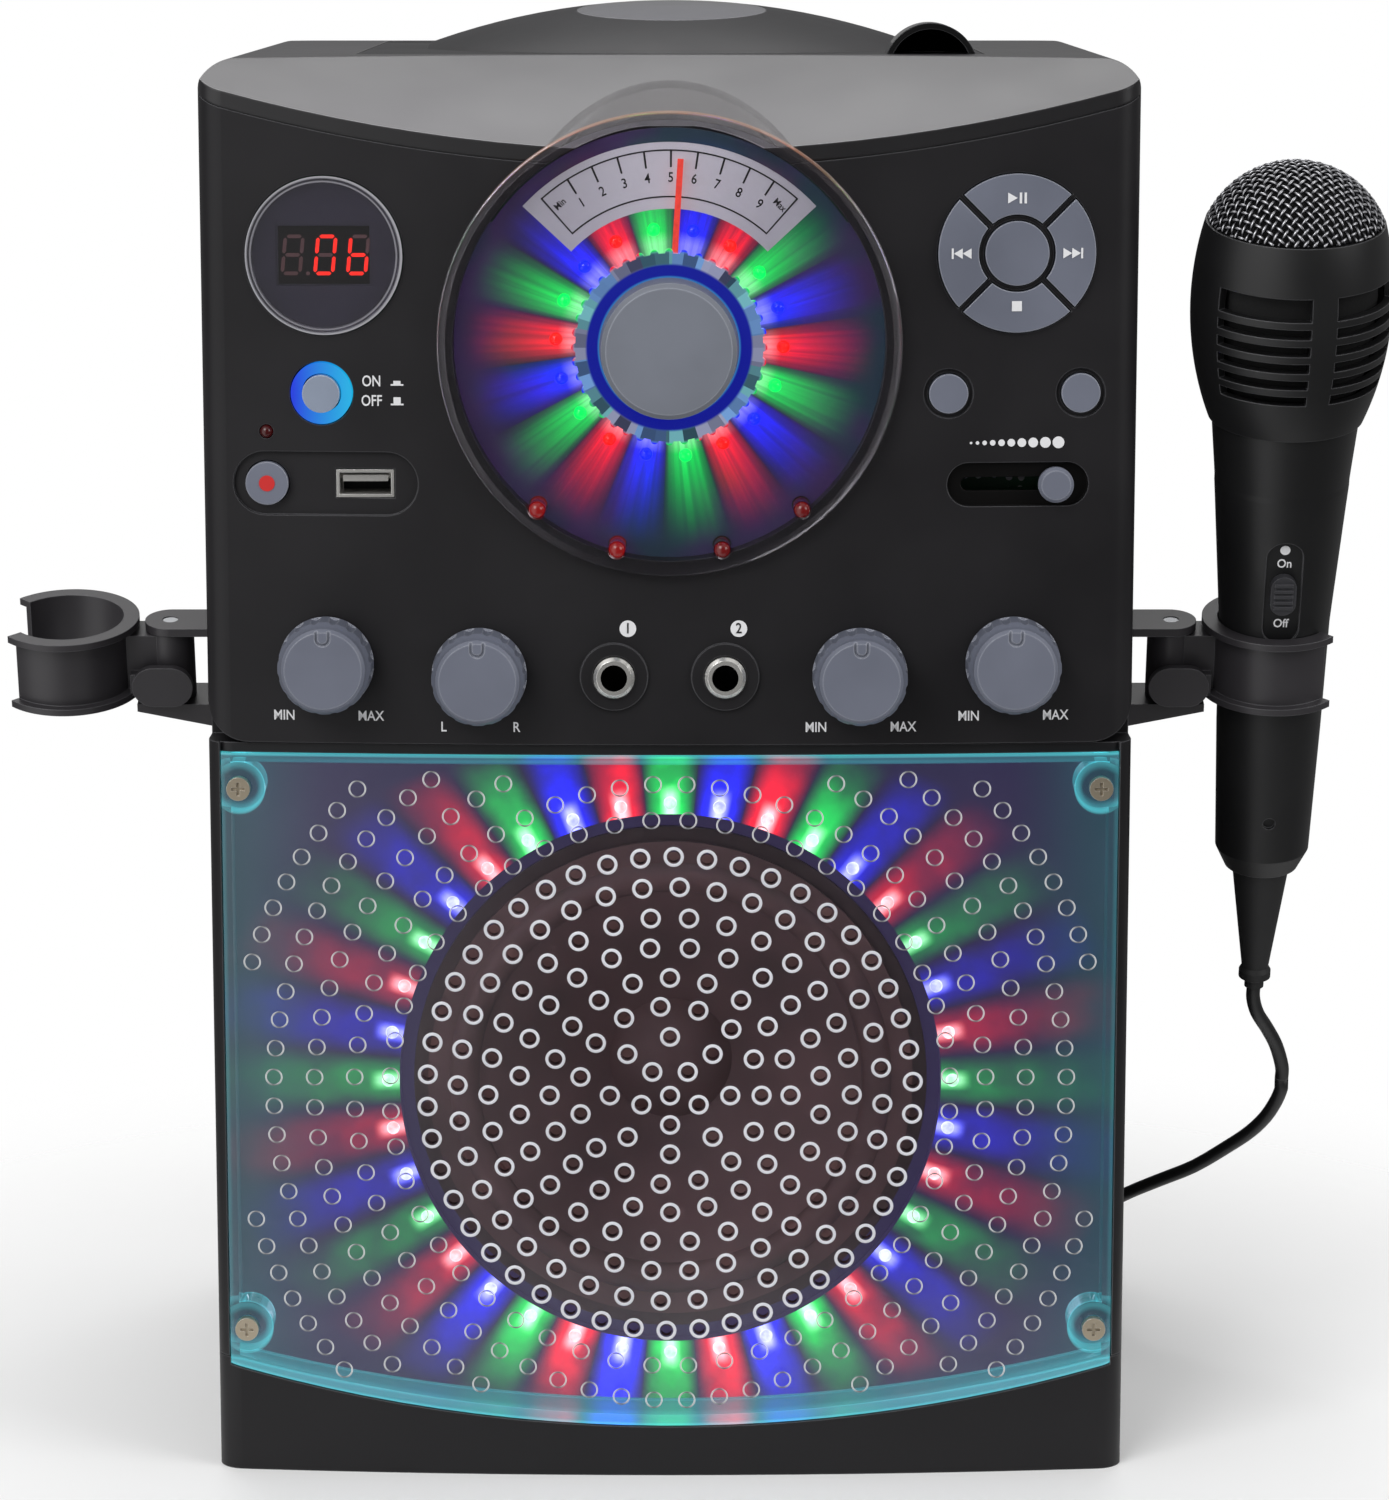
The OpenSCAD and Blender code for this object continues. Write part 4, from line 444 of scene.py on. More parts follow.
# the button's signs: low when it is pressed in for ON, standing out for OFF
for name, z, top in [("power_up_mark", 0.2838, 0.0001), ("power_down_mark", 0.2789, 0.0009)]:
    bars = [[(-0.0016, -0.0011), (0.0016, -0.0011), (0.0016, -0.0007), (-0.0016, -0.0007)],
            [(-0.0009, -0.0007), (0.0009, -0.0007), (0.0009, top), (-0.0009, top)]]
    plate(name, bars, on_front(-0.0680, z, 0.0001), ink)
growing = [disc((0.32 + 0.13 * i) / 1000, 20, (-11.9 + 1.5 * i + 0.1055 * i * i) / 1000) for i in range(10)]
plate("slider_dots", growing, on_front(slider_x, 0.2683, 0.0001), ink)
# the badges over the jacks: the number is left open in the ink, so it shows the panel
bare_panel = grained("bare panel", "#141315", 0.5, 0.8, 0.01)
for side, number, x in (("left", "1", -0.0105), ("right", "2", 0.0174)):
    plate(f"{side}_jack_badge", disc(0.0021), on_front(x, 0.2217, 0.0001), ink)
    printed(f"{side}_jack_number", number, 0.0026, on_front(x, 0.2217, 0.00025), bare_panel)
# each knob's place, its two words and how far to the side they stand
for i, (x, z, low, high, reach) in enumerate([
        (-0.0865, 0.2126, "MIN", "MAX", 0.0110), (-0.0479, 0.2100, "L", "R", 0.0092),
        (0.0479, 0.2100, "MIN", "MAX", 0.0110), (0.0865, 0.2126, "MIN", "MAX", 0.0110)]):
    for words, s in ((low, -1), (high, 1)):
        printed(f"knob_{i + 1}_{words}", words, 0.0025, on_front(x + s * reach, z - 0.0136, 0.0001))

# ---- Rotary knobs and push buttons ----
# Slate-grey ABS. The knobs have scalloped skirts and a moulded groove as pointer; the transport
# keys are four sectors round a disc, all with fine satin faces.
# their pale edge colour is a painted highlight on the rims
slate = grained("slate satin ABS", "#696d7b", 0.42, 0.7, 0.02, edge=0.55, edge_light="#c9ccd6")
dress(slate, "left_outer_knob", "left_inner_knob", "right_inner_knob", "right_outer_knob", "record_button",
      "play_button", "stop_button", "back_button", "next_button", "middle_button", "left_function_button",
      "right_function_button", "slider_knob")


def triangle(x, w, h):
    return [(x - w / 2, -h / 2), (x + w / 2, 0), (x - w / 2, h / 2)]


def bar(x, w, h):
    return [(x - w / 2, -h / 2), (x + w / 2, -h / 2), (x + w / 2, h / 2), (x - w / 2, h / 2)]


keys_x, keys_z, sign_r = 0.0865, 0.3156, 0.0137


def on_keys(dx, dz):
    """The place on the transport keys' faces, from the middle of their disc."""
    return on_front(keys_x, keys_z, 0.00115) @ Matrix.Translation((dx, 0, dz))


play = [triangle(-0.0013, 0.0024, 0.0027), bar(0.0007, 0.0006, 0.0027), bar(0.0019, 0.0006, 0.0027)]
plate("play_sign", play, on_keys(0, sign_r), ink, "play_key")
plate("stop_sign", [bar(0, 0.0025, 0.0025)], on_keys(0, -sign_r + 0.0006), ink, "stop_key")
skip = [triangle(-0.0011, 0.0022, 0.0026), triangle(0.0011, 0.0022, 0.0026), bar(0.0025, 0.0005, 0.0026)]
back = [[(-x, z) for x, z in reversed(shape)] for shape in skip]
plate("next_sign", skip, on_keys(sign_r, 0), ink, "next_key")
plate("back_sign", back, on_keys(-sign_r, 0), ink, "back_key")
record_red = grained("red pad print", "#c81e1c", 0.45, 0.7, 0.01, mottle=0.06)
plate("record_dot", disc(0.0020), on_front(-0.101, 0.258, 0.0009), record_red, "record_key", "needle_red")

# ---- Power button and its lit ring ----
# Frosted blue-white polycarbonate cap in a ring that a lamp lights blue.
# its pale edge colour is a painted highlight
cap = grained("frosted polycarbonate", "#8791a3", 0.32, 0.8, 0.02, edge=0.5, edge_light="#e6eefc")
dress(cap, "power_button")

# ---- Numeric display ----
# Red seven-segment digits in a black window, behind a smoked acrylic lens held by a collar.
smoke = grained("smoked acrylic", "#a9a6b2", 0.04, 30, 0.002, mottle=0.03, Transmission_Weight=1.0, IOR=1.49)
tree, shader = inside(smoke)
spot = add(tree, "TexCoord").outputs["Object"]
from_middle = add(tree, "VectorMath", {0: spot, 1: (-0.086, -0.1025, 0.315)}, operation="DISTANCE")
# painted highlight: its polished bevel and the groove inside it are painted as a pale, less clear ring for
# the light they gather
bevel = add(tree, "MapRange", {0: from_middle, 1: 0.0190, 2: 0.0195})
groove = add(tree, "Math", {0: from_middle, 1: 0.0184}, operation="SUBTRACT")
groove = add(tree, "Math", {0: groove}, operation="ABSOLUTE")
groove = add(tree, "MapRange", {0: groove, 1: 0.00035, 2: 0.0001, 3: 0.0, 4: 0.5})
ring = add(tree, "Math", {0: bevel, 1: groove}, operation="MAXIMUM")
repaint(smoke, ring, "#a3a3a8")
clear = add(tree, "Math", {0: 1.0, 1: ring}, operation="SUBTRACT")
feed(shader, {"Transmission Weight": clear})
dress(smoke, "display_lens")
collar = grained("grey collar ABS", "#8f8d9b", 0.5, 0.8, 0.02)
dress(collar, "display_module")
window_black = grained("display window film", "#1a0c10", 0.3, 0.8, 0.01)
display_at = Matrix.Translation((-0.086, -0.09905, 0.315))
plate("display_window", [bar(0, 0.0228, 0.0144)], display_at, window_black, slot="gloss_black")


def glowing(name, colour, strength, body_colour="#101010"):
    """Plastic with an emission glow in faint clouds: light from a lamp behind it, or a painted glow where no
    lamp lights it.
    """
    made = grained(name, body_colour, 0.3, 0.6, 0.01)
    tree, shader = inside(made)
    # clouds of about a millimetre in the plastic
    spot = add(tree, "TexCoord").outputs["Object"]
    cells = add(tree, "TexNoise", {"Vector": spot, "Scale": 900, "Detail": 1})
    lit = add(tree, "MapRange", {0: cells, 1: 0.3, 2: 0.7, 3: strength * 0.85, 4: strength * 1.15})
    feed(shader, {"Emission Color": linear(colour), "Emission Strength": lit})
    return made


segment_lit = glowing("lit red segment", "#ff2a1c", 3.2)
# the unlit segments get a faint painted glow, so that they show behind the smoked lens
unlit_segment_glow = glowing("unlit segment", "#8a5a52", 0.45, "#a08a88")


def segment(x0, z0, x1, z1, w=0.0009):
    """One bar of a digit, pointed at both ends and leaning with the digit."""
    a, b = Vector((x0, z0)), Vector((x1, z1))
    along = (b - a).normalized()
    side = Vector((-along.y, along.x)) * w / 2
    a, b = a + along * 0.0003, b - along * 0.0003
    shoulder = along * w / 2
    ring = [a, a + shoulder + side, b - shoulder + side, b, b - shoulder - side, a + shoulder - side]
    return [(p.x + p.y * 0.1, p.y) for p in ring]


# half a digit's width and height; the first digit is unlit, then come 0 and 6
w2, h2 = 0.0022, 0.0046
bars = {"a": (-w2, h2, w2, h2), "b": (w2, h2, w2, 0), "c": (w2, 0, w2, -h2), "d": (-w2, -h2, w2, -h2),
        "e": (-w2, 0, -w2, -h2), "f": (-w2, h2, -w2, 0), "g": (-w2, 0, w2, 0)}
lit_bars, dim_bars = [], [disc(0.0005, 12, -0.0040, -h2)]
for x, on in ((-0.0078, ""), (0.0004, "abcdef"), (0.0086, "cdefg")):
    for key, (x0, z0, x1, z1) in bars.items():
        shape = [(px + x, pz) for px, pz in segment(x0, z0, x1, z1)]
        (lit_bars if key in on else dim_bars).append(shape)
digits_at = display_at @ Matrix.Translation((0, -0.0002, 0))
plate("lit_segments", lit_bars, digits_at, segment_lit, slot="needle_red")
plate("dim_segments", dim_bars, digits_at, unlit_segment_glow, slot="gear_white")

# ---- Lights ----
# Round-nosed lamps in green, blue and red in turn, 18 round the volume knob and 36 round the
# speaker, with four red indicators, the record light and the power button's ring.


def fan(tree, centre_z, first, pitch):
    """Nodes for lamps set round a centre: the colour of the nearest lamp, how squarely a point lies
    behind it (1 in its middle, 0 between two lamps), the radius, the angle and the coordinates."""
    spot = add(tree, "SeparateXYZ", {0: add(tree, "TexCoord").outputs["Object"]})
    up = add(tree, "Math", {0: spot.outputs["Z"], 1: centre_z}, operation="SUBTRACT")
    angle = add(tree, "Math", {0: spot.outputs["X"], 1: up}, operation="ARCTAN2")
    per_lamp = math.degrees(1) / pitch
    steps = add(tree, "Math", {0: angle, 1: per_lamp, 2: -first / pitch}, operation="MULTIPLY_ADD")
    near = add(tree, "Math", {0: steps}, operation="ROUND")
    off = add(tree, "Math", {0: steps, 1: near}, operation="SUBTRACT")
    off = add(tree, "Math", {0: off}, operation="ABSOLUTE")
    square = add(tree, "MapRange", {0: off, 1: 0.5, 2: 0.0, 3: 0.0, 4: 1.0})
    third = add(tree, "Math", {0: near, 1: 1 / 3, 2: 0.01}, operation="MULTIPLY_ADD")
    third = add(tree, "Math", {0: third}, operation="FRACT")
    ramp = add(tree, "ValToRGB", {0: third})
    ramp.color_ramp.interpolation = "CONSTANT"
    ramp.color_ramp.elements[0].color = linear("#00d848")
    ramp.color_ramp.elements[1].position, ramp.color_ramp.elements[1].color = 0.3, linear("#0c1cff")
    ramp.color_ramp.elements.new(0.6).color = linear("#f0100c")
    flat = add(tree, "CombineXYZ", {0: spot.outputs["X"], 2: up})
    reach = add(tree, "VectorMath", {0: flat}, operation="LENGTH")
    return ramp, square, reach, angle, spot


# Heights of the speaker's and the dial's middle; the lamps stand 10 and 20 degrees apart
speaker_z, ring_pitch = 0.101, 10
dial_z, dial_first, dial_pitch = 0.2929, -8, 20
# Clear epoxy: a bright coloured point with a polished nose
lamp_plastic = grained("lit lamp epoxy", "#c9cfe8", 0.12, 0.8, 0.01)
tree, shader = inside(lamp_plastic)
ring_colour, _, _, _, spot = fan(tree, speaker_z, 0, ring_pitch)
dial_colour, _, dial_reach, _, _ = fan(tree, dial_z, dial_first, dial_pitch)
upper = add(tree, "Math", {0: spot.outputs["Z"], 1: 0.2}, operation="GREATER_THAN")
colour = add(tree, "Mix", {0: upper, "A": ring_colour, "B": dial_colour}, data_type="RGBA")
outer = add(tree, "Math", {0: dial_reach, 1: 0.045}, operation="GREATER_THAN")
outer = add(tree, "Math", {0: outer, 1: upper}, operation="MULTIPLY")
colour = add(tree, "Mix", {0: outer, "A": colour, "B": linear("#e01814")}, data_type="RGBA")
core = add(tree, "TexNoise", {"Vector": add(tree, "TexCoord").outputs["Object"], "Scale": 420})
strength = add(tree, "MapRange", {0: core, 1: 0.35, 2: 0.65, 3: 2.5, 4: 4.5})
strength = add(tree, "Mix", {0: upper, "A": strength, "B": 2.4}, data_type="FLOAT")
pale = add(tree, "MapRange", {0: upper, 3: 0.3, 4: 0.0})
glow = add(tree, "Mix", {0: pale, "A": colour, "B": (1, 1, 1, 1)}, data_type="RGBA")
# the indicators glow weakly, the two on the right and the record light hardly at all
weak = add(tree, "Math", {0: spot.outputs["X"], 1: 0.0}, operation="GREATER_THAN")
recording = add(tree, "Math", {0: spot.outputs["X"], 1: -0.097}, operation="LESS_THAN")
weak = add(tree, "Math", {0: weak, 1: recording}, operation="MAXIMUM")
weak = add(tree, "MapRange", {0: weak, 3: 0.16, 4: 0.012})
strength = add(tree, "Mix", {0: outer, "A": strength, "B": weak}, data_type="FLOAT")
glow = add(tree, "Mix", {0: outer, "A": glow, "B": colour}, data_type="RGBA")
# the power button's ring runs from deep blue at the left to cyan at the right
place = add(tree, "TexCoord").outputs["Object"]
at_ring = add(tree, "VectorMath", {0: place, 1: (-0.087, -0.103, 0.2807)}, operation="DISTANCE")
at_ring = add(tree, "Math", {0: at_ring, 1: 0.0092}, operation="LESS_THAN")
cyan = add(tree, "MapRange", {0: spot.outputs["X"], 1: -0.094, 2: -0.080})
blues = add(tree, "Mix", {0: cyan, "A": linear("#1038e0"), "B": linear("#18b4e6")}, data_type="RGBA")
glow = add(tree, "Mix", {0: at_ring, "A": glow, "B": blues}, data_type="RGBA")
strength = add(tree, "Mix", {0: at_ring, "A": strength, "B": 0.9}, data_type="FLOAT")
body = add(tree, "VectorMath", {0: colour, "Scale": 0.3}, operation="SCALE")
body = add(tree, "Mix", {0: outer, "A": body, "B": linear("#6a1214")}, data_type="RGBA")
body = add(tree, "Mix", {0: recording, "A": body, "B": linear("#3a0c0e")}, data_type="RGBA")
body = add(tree, "Mix", {0: at_ring, "A": body, "B": linear("#0a1440")}, data_type="RGBA")
feed(shader, {"Base Color": body, "Emission Color": glow, "Emission Strength": strength})
dress(lamp_plastic, "lights")

# ---- Dial: scale plate, needle and gears ----
# A plate sprayed black-violet, with a silver scale raised on it. The green, blue and red rays that
# the lamps behind the volume knob throw across it are painted on it as emission.
scale_finish = grained("violet lacquer with silver scale", "#1c1626", 0.35, 0.8, 0.01)
tree, shader = inside(scale_finish)
ray_colour, square, reach, angle, spot = fan(tree, dial_z, dial_first, dial_pitch)
silver = add(tree, "Math", {0: spot.outputs["Y"], 1: -0.0982}, operation="LESS_THAN")
# clouds of about 30 mm in the lacquer
cloud = add(tree, "TexNoise", {"Vector": add(tree, "TexCoord").outputs["Object"], "Scale": 34, "Detail": 2})
haze = add(tree, "ValToRGB", {0: cloud})
haze.color_ramp.elements[0].position, haze.color_ramp.elements[0].color = 0.36, linear("#2c2244")
haze.color_ramp.elements[1].position, haze.color_ramp.elements[1].color = 0.64, linear("#1c3442")
haze.color_ramp.elements.new(0.5).color = linear("#382450")
brush = add(tree, "Mix", {0: silver, "A": haze, "B": linear("#c4c4ca")}, data_type="RGBA")
feed(shader, {"Base Color": brush})
spread = add(tree, "MapRange", {0: square, 1: -0.15, 2: 0.75}, interpolation_type="SMOOTHSTEP")
fade = add(tree, "MapRange", {0: reach, 1: 0.053, 2: 0.026})
fade = add(tree, "Math", {0: fade, 1: 1.9}, operation="POWER")
streak = add(tree, "TexNoise", {"Scale": 8.0, "W": 0.0, "Detail": 2}, noise_dimensions="1D")
feed(streak, {"W": add(tree, "Math", {0: angle, 1: 3.0}, operation="MULTIPLY")})
streak = add(tree, "MapRange", {0: streak, 1: 0.3, 2: 0.7, 3: 0.65, 4: 1.15})
shine = add(tree, "Math", {0: spread, 1: fade}, operation="MULTIPLY")
shine = add(tree, "Math", {0: shine, 1: streak}, operation="MULTIPLY")
off_scale = add(tree, "MapRange", {0: silver, 3: 1.9, 4: 0.0})
shine = add(tree, "Math", {0: shine, 1: off_scale}, operation="MULTIPLY")
hot = add(tree, "MapRange", {0: reach, 1: 0.028, 2: 0.025, 3: 0.0, 4: 0.15})
glow = add(tree, "Mix", {0: hot, "A": ray_colour, "B": (1, 1, 1, 1)}, data_type="RGBA")
# painted glow: a dim violet glow over all the lacquer, and painted light on the scale, strongest in its
# middle
lit = add(tree, "VectorMath", {0: glow, "Scale": shine}, operation="SCALE")
painted_mist = add(tree, "VectorMath", {0: haze, "Scale": 0.5}, operation="SCALE")
lit = add(tree, "VectorMath", {0: lit, 1: painted_mist}, operation="ADD")
aside = add(tree, "Math", {0: angle}, operation="ABSOLUTE")
on_scale = add(tree, "MapRange", {0: aside, 1: 0.1, 2: 0.8, 3: 0.34, 4: 0.18})
pale = add(tree, "VectorMath", {0: linear("#e0e0e2")[:3], "Scale": on_scale}, operation="SCALE")
lit = add(tree, "Mix", {0: silver, "A": lit, "B": pale}, data_type="RGBA")
feed(shader, {"Emission Color": lit, "Emission Strength": 1.0})
dress(scale_finish, "scale_plate")

# Printed scale: two arcs, end cells, ticks and the numbers 1 to 9
scale_ink = grained("black scale print", "#17161a", 0.5, 0.7, 0.005, mottle=0.05)
scale_place = Matrix.Translation((0, -0.09888, dial_z))


def arc(r0, r1, a0, a1, n=48):
    """Flat band between two radii, angles clockwise from the top, in degrees."""
    steps = [math.radians(a0 + (a1 - a0) * k / n) for k in range(n + 1)]
    return [[(r * math.sin(t), r * math.cos(t)) for r, t in ((r0, a), (r0, b), (r1, b), (r1, a))]
            for a, b in zip(steps, steps[1:])]


def tick(r0, r1, a, w):
    half = math.degrees(w / 2 / ((r0 + r1) / 2))
    return arc(r0, r1, a - half, a + half, 1)


scale_in, scale_out, scale_end, line_w = 0.0363, 0.0482, 41.5, 0.0004
lines = arc(scale_out - line_w, scale_out, -scale_end, scale_end)
lines += arc(scale_in, scale_in + line_w, -scale_end, scale_end)
lines += tick(scale_in, scale_out, -scale_end, line_w) + tick(scale_in, scale_out, scale_end, line_w)
for k in range(9):
    a = (k - 4) * 8.1 + 0.5
    lines += tick(scale_out - 0.0044, scale_out, a, 0.0005)
    printed(f"scale_number_{k + 1}", str(k + 1), 0.0024,
            scale_place @ Matrix.Rotation(math.radians(a), 4, "Y") @ Matrix.Translation((0, 0, 0.0412)),
            scale_ink)
plate("scale_lines", lines, scale_place, scale_ink, slot="scale_silver", thick=0.00005)
for words, a, turn in (("Min", -38.2, -6), ("Max", 38.6, 6)):
    printed(f"scale_{words}", words, 0.0017, scale_place @ Matrix.Rotation(math.radians(a), 4, "Y")
            @ Matrix.Translation((0, 0, 0.0440)), scale_ink, turn=math.radians(turn))

needle_red = glowing("translucent red needle", "#ff4a38", 0.7, "#c8352d")
dress(needle_red, "needle")
nylon = grained("white acetal gear", "#dcd8cb", 0.5, 0.9, 0.02)
dress(nylon, "idler_gear", "sled_gear")

# The lens: clear acrylic with a violet tint; its rear wall is frosted, and its top edge carries a painted
# highlight
lens = grained("violet clear acrylic", "#d9d2ea", 0.03, 30, 0.002, mottle=0.02, Transmission_Weight=1.0,
               IOR=1.49, Specular_IOR_Level=0.25)
tree, shader = inside(lens)
_, _, reach, angle, spot = fan(tree, dial_z, 0, dial_pitch)
behind = add(tree, "MapRange", {0: spot.outputs["Y"], 1: -0.1062, 2: -0.1050})
tint = add(tree, "Mix", {0: behind, "A": linear("#f0edf5"), "B": linear("#e4e2e4")}, data_type="RGBA")
feed(shader, {"Base Color": tint})
frost = add(tree, "MapRange", {0: behind, 3: 0.03, 4: 0.12})
feed(shader, {"Roughness": frost})
clear = add(tree, "MapRange", {0: behind, 3: 1.0, 4: 0.88})
feed(shader, {"Transmission Weight": clear})
# painted highlight: a warm glow on the front rim, strongest at the top
rim = add(tree, "MapRange", {0: reach, 1: 0.0571, 2: 0.0575})
front_only = add(tree, "Math", {0: 1.0, 1: behind}, operation="SUBTRACT")
overhead = add(tree, "Math", {0: angle}, operation="COSINE")
overhead = add(tree, "MapRange", {0: overhead, 1: 0.55, 2: 0.95})
rim_highlight = add(tree, "Math", {0: rim, 1: front_only}, operation="MULTIPLY")
rim_highlight = add(tree, "Math", {0: rim_highlight, 1: overhead}, operation="MULTIPLY")
rim_highlight = add(tree, "Math", {0: rim_highlight, 1: 0.3}, operation="MULTIPLY")
feed(shader, {"Emission Color": linear("#e0a070"), "Emission Strength": rim_highlight})
dress(lens, "dial_lens")

# ---- Volume knob ----
# Grey satin cap with a turned rim, its edges painted pale as a highlight, over a clear toothed skirt that the
# lamps light,
# painted as emission: deep blue round the cap, pale facets at the teeth, each facet with a painted glint of
# its own.
cap_grey = grained("grey satin cap", "#70747e", 0.42, 0.6, 0.01, edge=0.6, edge_light="#d5dae6")
dress(cap_grey, "volume_knob")
skirt = grained("clear toothed acrylic", "#1a2148", 0.08, 20, 0.002, mottle=0.03, Transmission_Weight=0.2,
                IOR=1.49)
tree, shader = inside(skirt)
ray_colour, _, reach, angle, _ = fan(tree, dial_z, dial_first, dial_pitch)
facet_count = 40
facets = add(tree, "Math", {0: angle, 1: facet_count / (2 * math.pi)}, operation="MULTIPLY")
facets = add(tree, "Math", {0: facets}, operation="FLOOR")
facet = add(tree, "TexWhiteNoise", {"W": facets}, noise_dimensions="1D")
teeth = add(tree, "MapRange", {0: reach, 1: 0.0203, 2: 0.0209})
pale = add(tree, "Mix", {0: 0.78, "A": ray_colour, "B": linear("#8fc4e0")}, data_type="RGBA")
light = add(tree, "Mix", {0: teeth, "A": linear("#0614c8"), "B": pale}, data_type="RGBA")
near_cap = add(tree, "MapRange", {0: reach, 1: 0.0179, 2: 0.0175})
light = add(tree, "Mix", {0: near_cap, "A": light, "B": linear("#46a8ff")}, data_type="RGBA")
# the outer edge picks up each lamp's own colour
outer = add(tree, "MapRange", {0: reach, 1: 0.0234, 2: 0.0241})
light = add(tree, "Mix", {0: outer, "A": light, "B": ray_colour}, data_type="RGBA")
power = add(tree, "MapRange", {0: facet, 3: 0.08, 4: 0.75})
power = add(tree, "Mix", {0: teeth, "A": 0.4, "B": power}, data_type="FLOAT")
power = add(tree, "Mix", {0: outer, "A": power, "B": 0.9}, data_type="FLOAT")
feed(shader, {"Emission Color": light, "Emission Strength": power})
dress(skirt, "volume_skirt")
steel = grained("ground steel", "#b6b8bb", 0.28, 0.5, 0.004, Metallic=1.0)
dress(steel, "volume_shaft", "steel_pins")

# ---- Sockets and screws on the front ----
# Nickel-plated bushings with a throat painted black as shade, a plated data socket, and cross-head screws;
# their edges are painted pale as a highlight.
nickel = grained("nickel plate", "#dcdad6", 0.2, 0.5, 0.003, edge=0.25, edge_light="#ffffff", Metallic=0.75)
dress(nickel, "usb_port", "mic_jacks")
# Painted shade: inside, the jack's bore and the lower half of the data socket are painted black
jack_x, jack_z, port_x = 0.014, 0.2095, -0.0763
tree, shader = inside(nickel)
spot = add(tree, "SeparateXYZ", {0: add(tree, "TexCoord").outputs["Object"]})
wide = add(tree, "Math", {0: spot.outputs["X"]}, operation="ABSOLUTE")
bore = add(tree, "CombineXYZ", {0: wide, 2: spot.outputs["Z"]})
bore = add(tree, "VectorMath", {0: bore, 1: (jack_x, 0, jack_z)}, operation="DISTANCE")
bore = add(tree, "Math", {0: bore, 1: 0.00335}, operation="LESS_THAN")
from_port = add(tree, "Math", {0: spot.outputs["X"], 1: port_x}, operation="SUBTRACT")
from_port = add(tree, "Math", {0: from_port}, operation="ABSOLUTE")
lower = add(tree, "MapRange", {0: from_port, 1: 0.0064, 2: 0.0063})
low = add(tree, "Math", {0: spot.outputs["Z"], 1: 0.258}, operation="LESS_THAN")
above = add(tree, "Math", {0: spot.outputs["Z"], 1: 0.2553}, operation="GREATER_THAN")
for part in (low, above):
    lower = add(tree, "Math", {0: lower, 1: part}, operation="MULTIPLY")
black = add(tree, "Math", {0: bore, 1: lower}, operation="MAXIMUM")
repaint(nickel, black, "#070707")
# the screws' pale edge colour is a painted highlight
screw_steel = grained("zinc-plated screw", "#b9ad98", 0.3, 0.5, 0.006, edge=0.2, edge_light="#f4f0ea",
                      Metallic=0.75)
dress(screw_steel, "case_screws")
dress(grained("rear socket mouldings", "#2a2a2c", 0.35, 0.8, 0.02, edge=0.3), "rear_sockets")

# ---- Clear front cover ----
# Bowed clear acrylic, 2.4 mm thick, with 185 punched sound holes in raised collars, rings of
# moulded dimples round them, and four screw bosses. Its edges carry the light, painted on them as teal
# emission lines.
cover = grained("clear acrylic cover", "#e3e8f2", 0.03, 40, 0.002, mottle=0.02, Transmission_Weight=1.0,
                IOR=1.49)
tree, shader = inside(cover)
spot = add(tree, "SeparateXYZ", {0: add(tree, "TexCoord").outputs["Object"]})
wide = add(tree, "Math", {0: spot.outputs["X"]}, operation="ABSOLUTE")
edges = add(tree, "MapRange", {0: spot.outputs["Z"], 1: 0.1869, 2: 0.1876, 4: 0.35})
line = add(tree, "MapRange", {0: spot.outputs["Z"], 1: 0.1882, 2: 0.1886, 4: 1.2})
edges = add(tree, "Math", {0: edges, 1: line}, operation="MAXIMUM")
side_edge = add(tree, "MapRange", {0: wide, 1: 0.1127, 2: 0.1134, 4: 0.25})
# the lower edge is an arc, 15 mm lower in its middle than at the cover's sides
cover_half, smile_low, smile_deep = 0.114, 0.013, 0.015
smile_r = (cover_half ** 2 + smile_deep ** 2) / (2 * smile_deep)
down_to = add(tree, "Math", {0: spot.outputs["Z"], 1: smile_low + smile_r}, operation="SUBTRACT")
down_to = add(tree, "CombineXYZ", {0: spot.outputs["X"], 2: down_to})
low = add(tree, "VectorMath", {0: down_to}, operation="LENGTH")
low_edge = add(tree, "MapRange", {0: low, 1: smile_r - 0.0012, 2: smile_r - 0.0007, 4: 0.8})
bevel = add(tree, "MapRange", {0: low, 1: smile_r - 0.0042, 2: smile_r - 0.0034, 4: 0.16})
low_edge = add(tree, "Math", {0: low_edge, 1: bevel}, operation="MAXIMUM")
for part in (side_edge, low_edge):
    edges = add(tree, "Math", {0: edges, 1: part}, operation="MAXIMUM")
screw_x, screw_zs = 0.1095, (0.038, 0.180)
for z in screw_zs:
    from_screw = add(tree, "CombineXYZ", {0: wide, 2: spot.outputs["Z"]})
    from_screw = add(tree, "VectorMath", {0: from_screw, 1: (screw_x, 0, z)}, operation="DISTANCE")
    boss = add(tree, "MapRange", {0: from_screw, 1: 0.0046, 2: 0.0060, 4: 0.6})
    past = add(tree, "Math", {0: from_screw, 1: 0.0068}, operation="LESS_THAN")
    boss = add(tree, "Math", {0: boss, 1: past}, operation="MULTIPLY")
    edges = add(tree, "Math", {0: edges, 1: boss}, operation="MAXIMUM")
edges = add(tree, "Math", {0: edges, 1: 0.42}, operation="MULTIPLY")
feed(shader, {"Emission Color": linear("#4fc9d0"), "Emission Strength": edges})
dress(cover, "clear_cover")

# each ring's radius in mm, its holes and the first one's angle
hole_rings = [(0, 1, 0), (7.7, 5, 36), (15.4, 8, 0), (23.4, 15, -6), (30.8, 20, 0), (38.8, 24, 7.5),
              (46.5, 30, 6), (54.4, 36, 2.6), (62.2, 46, 0.9)]


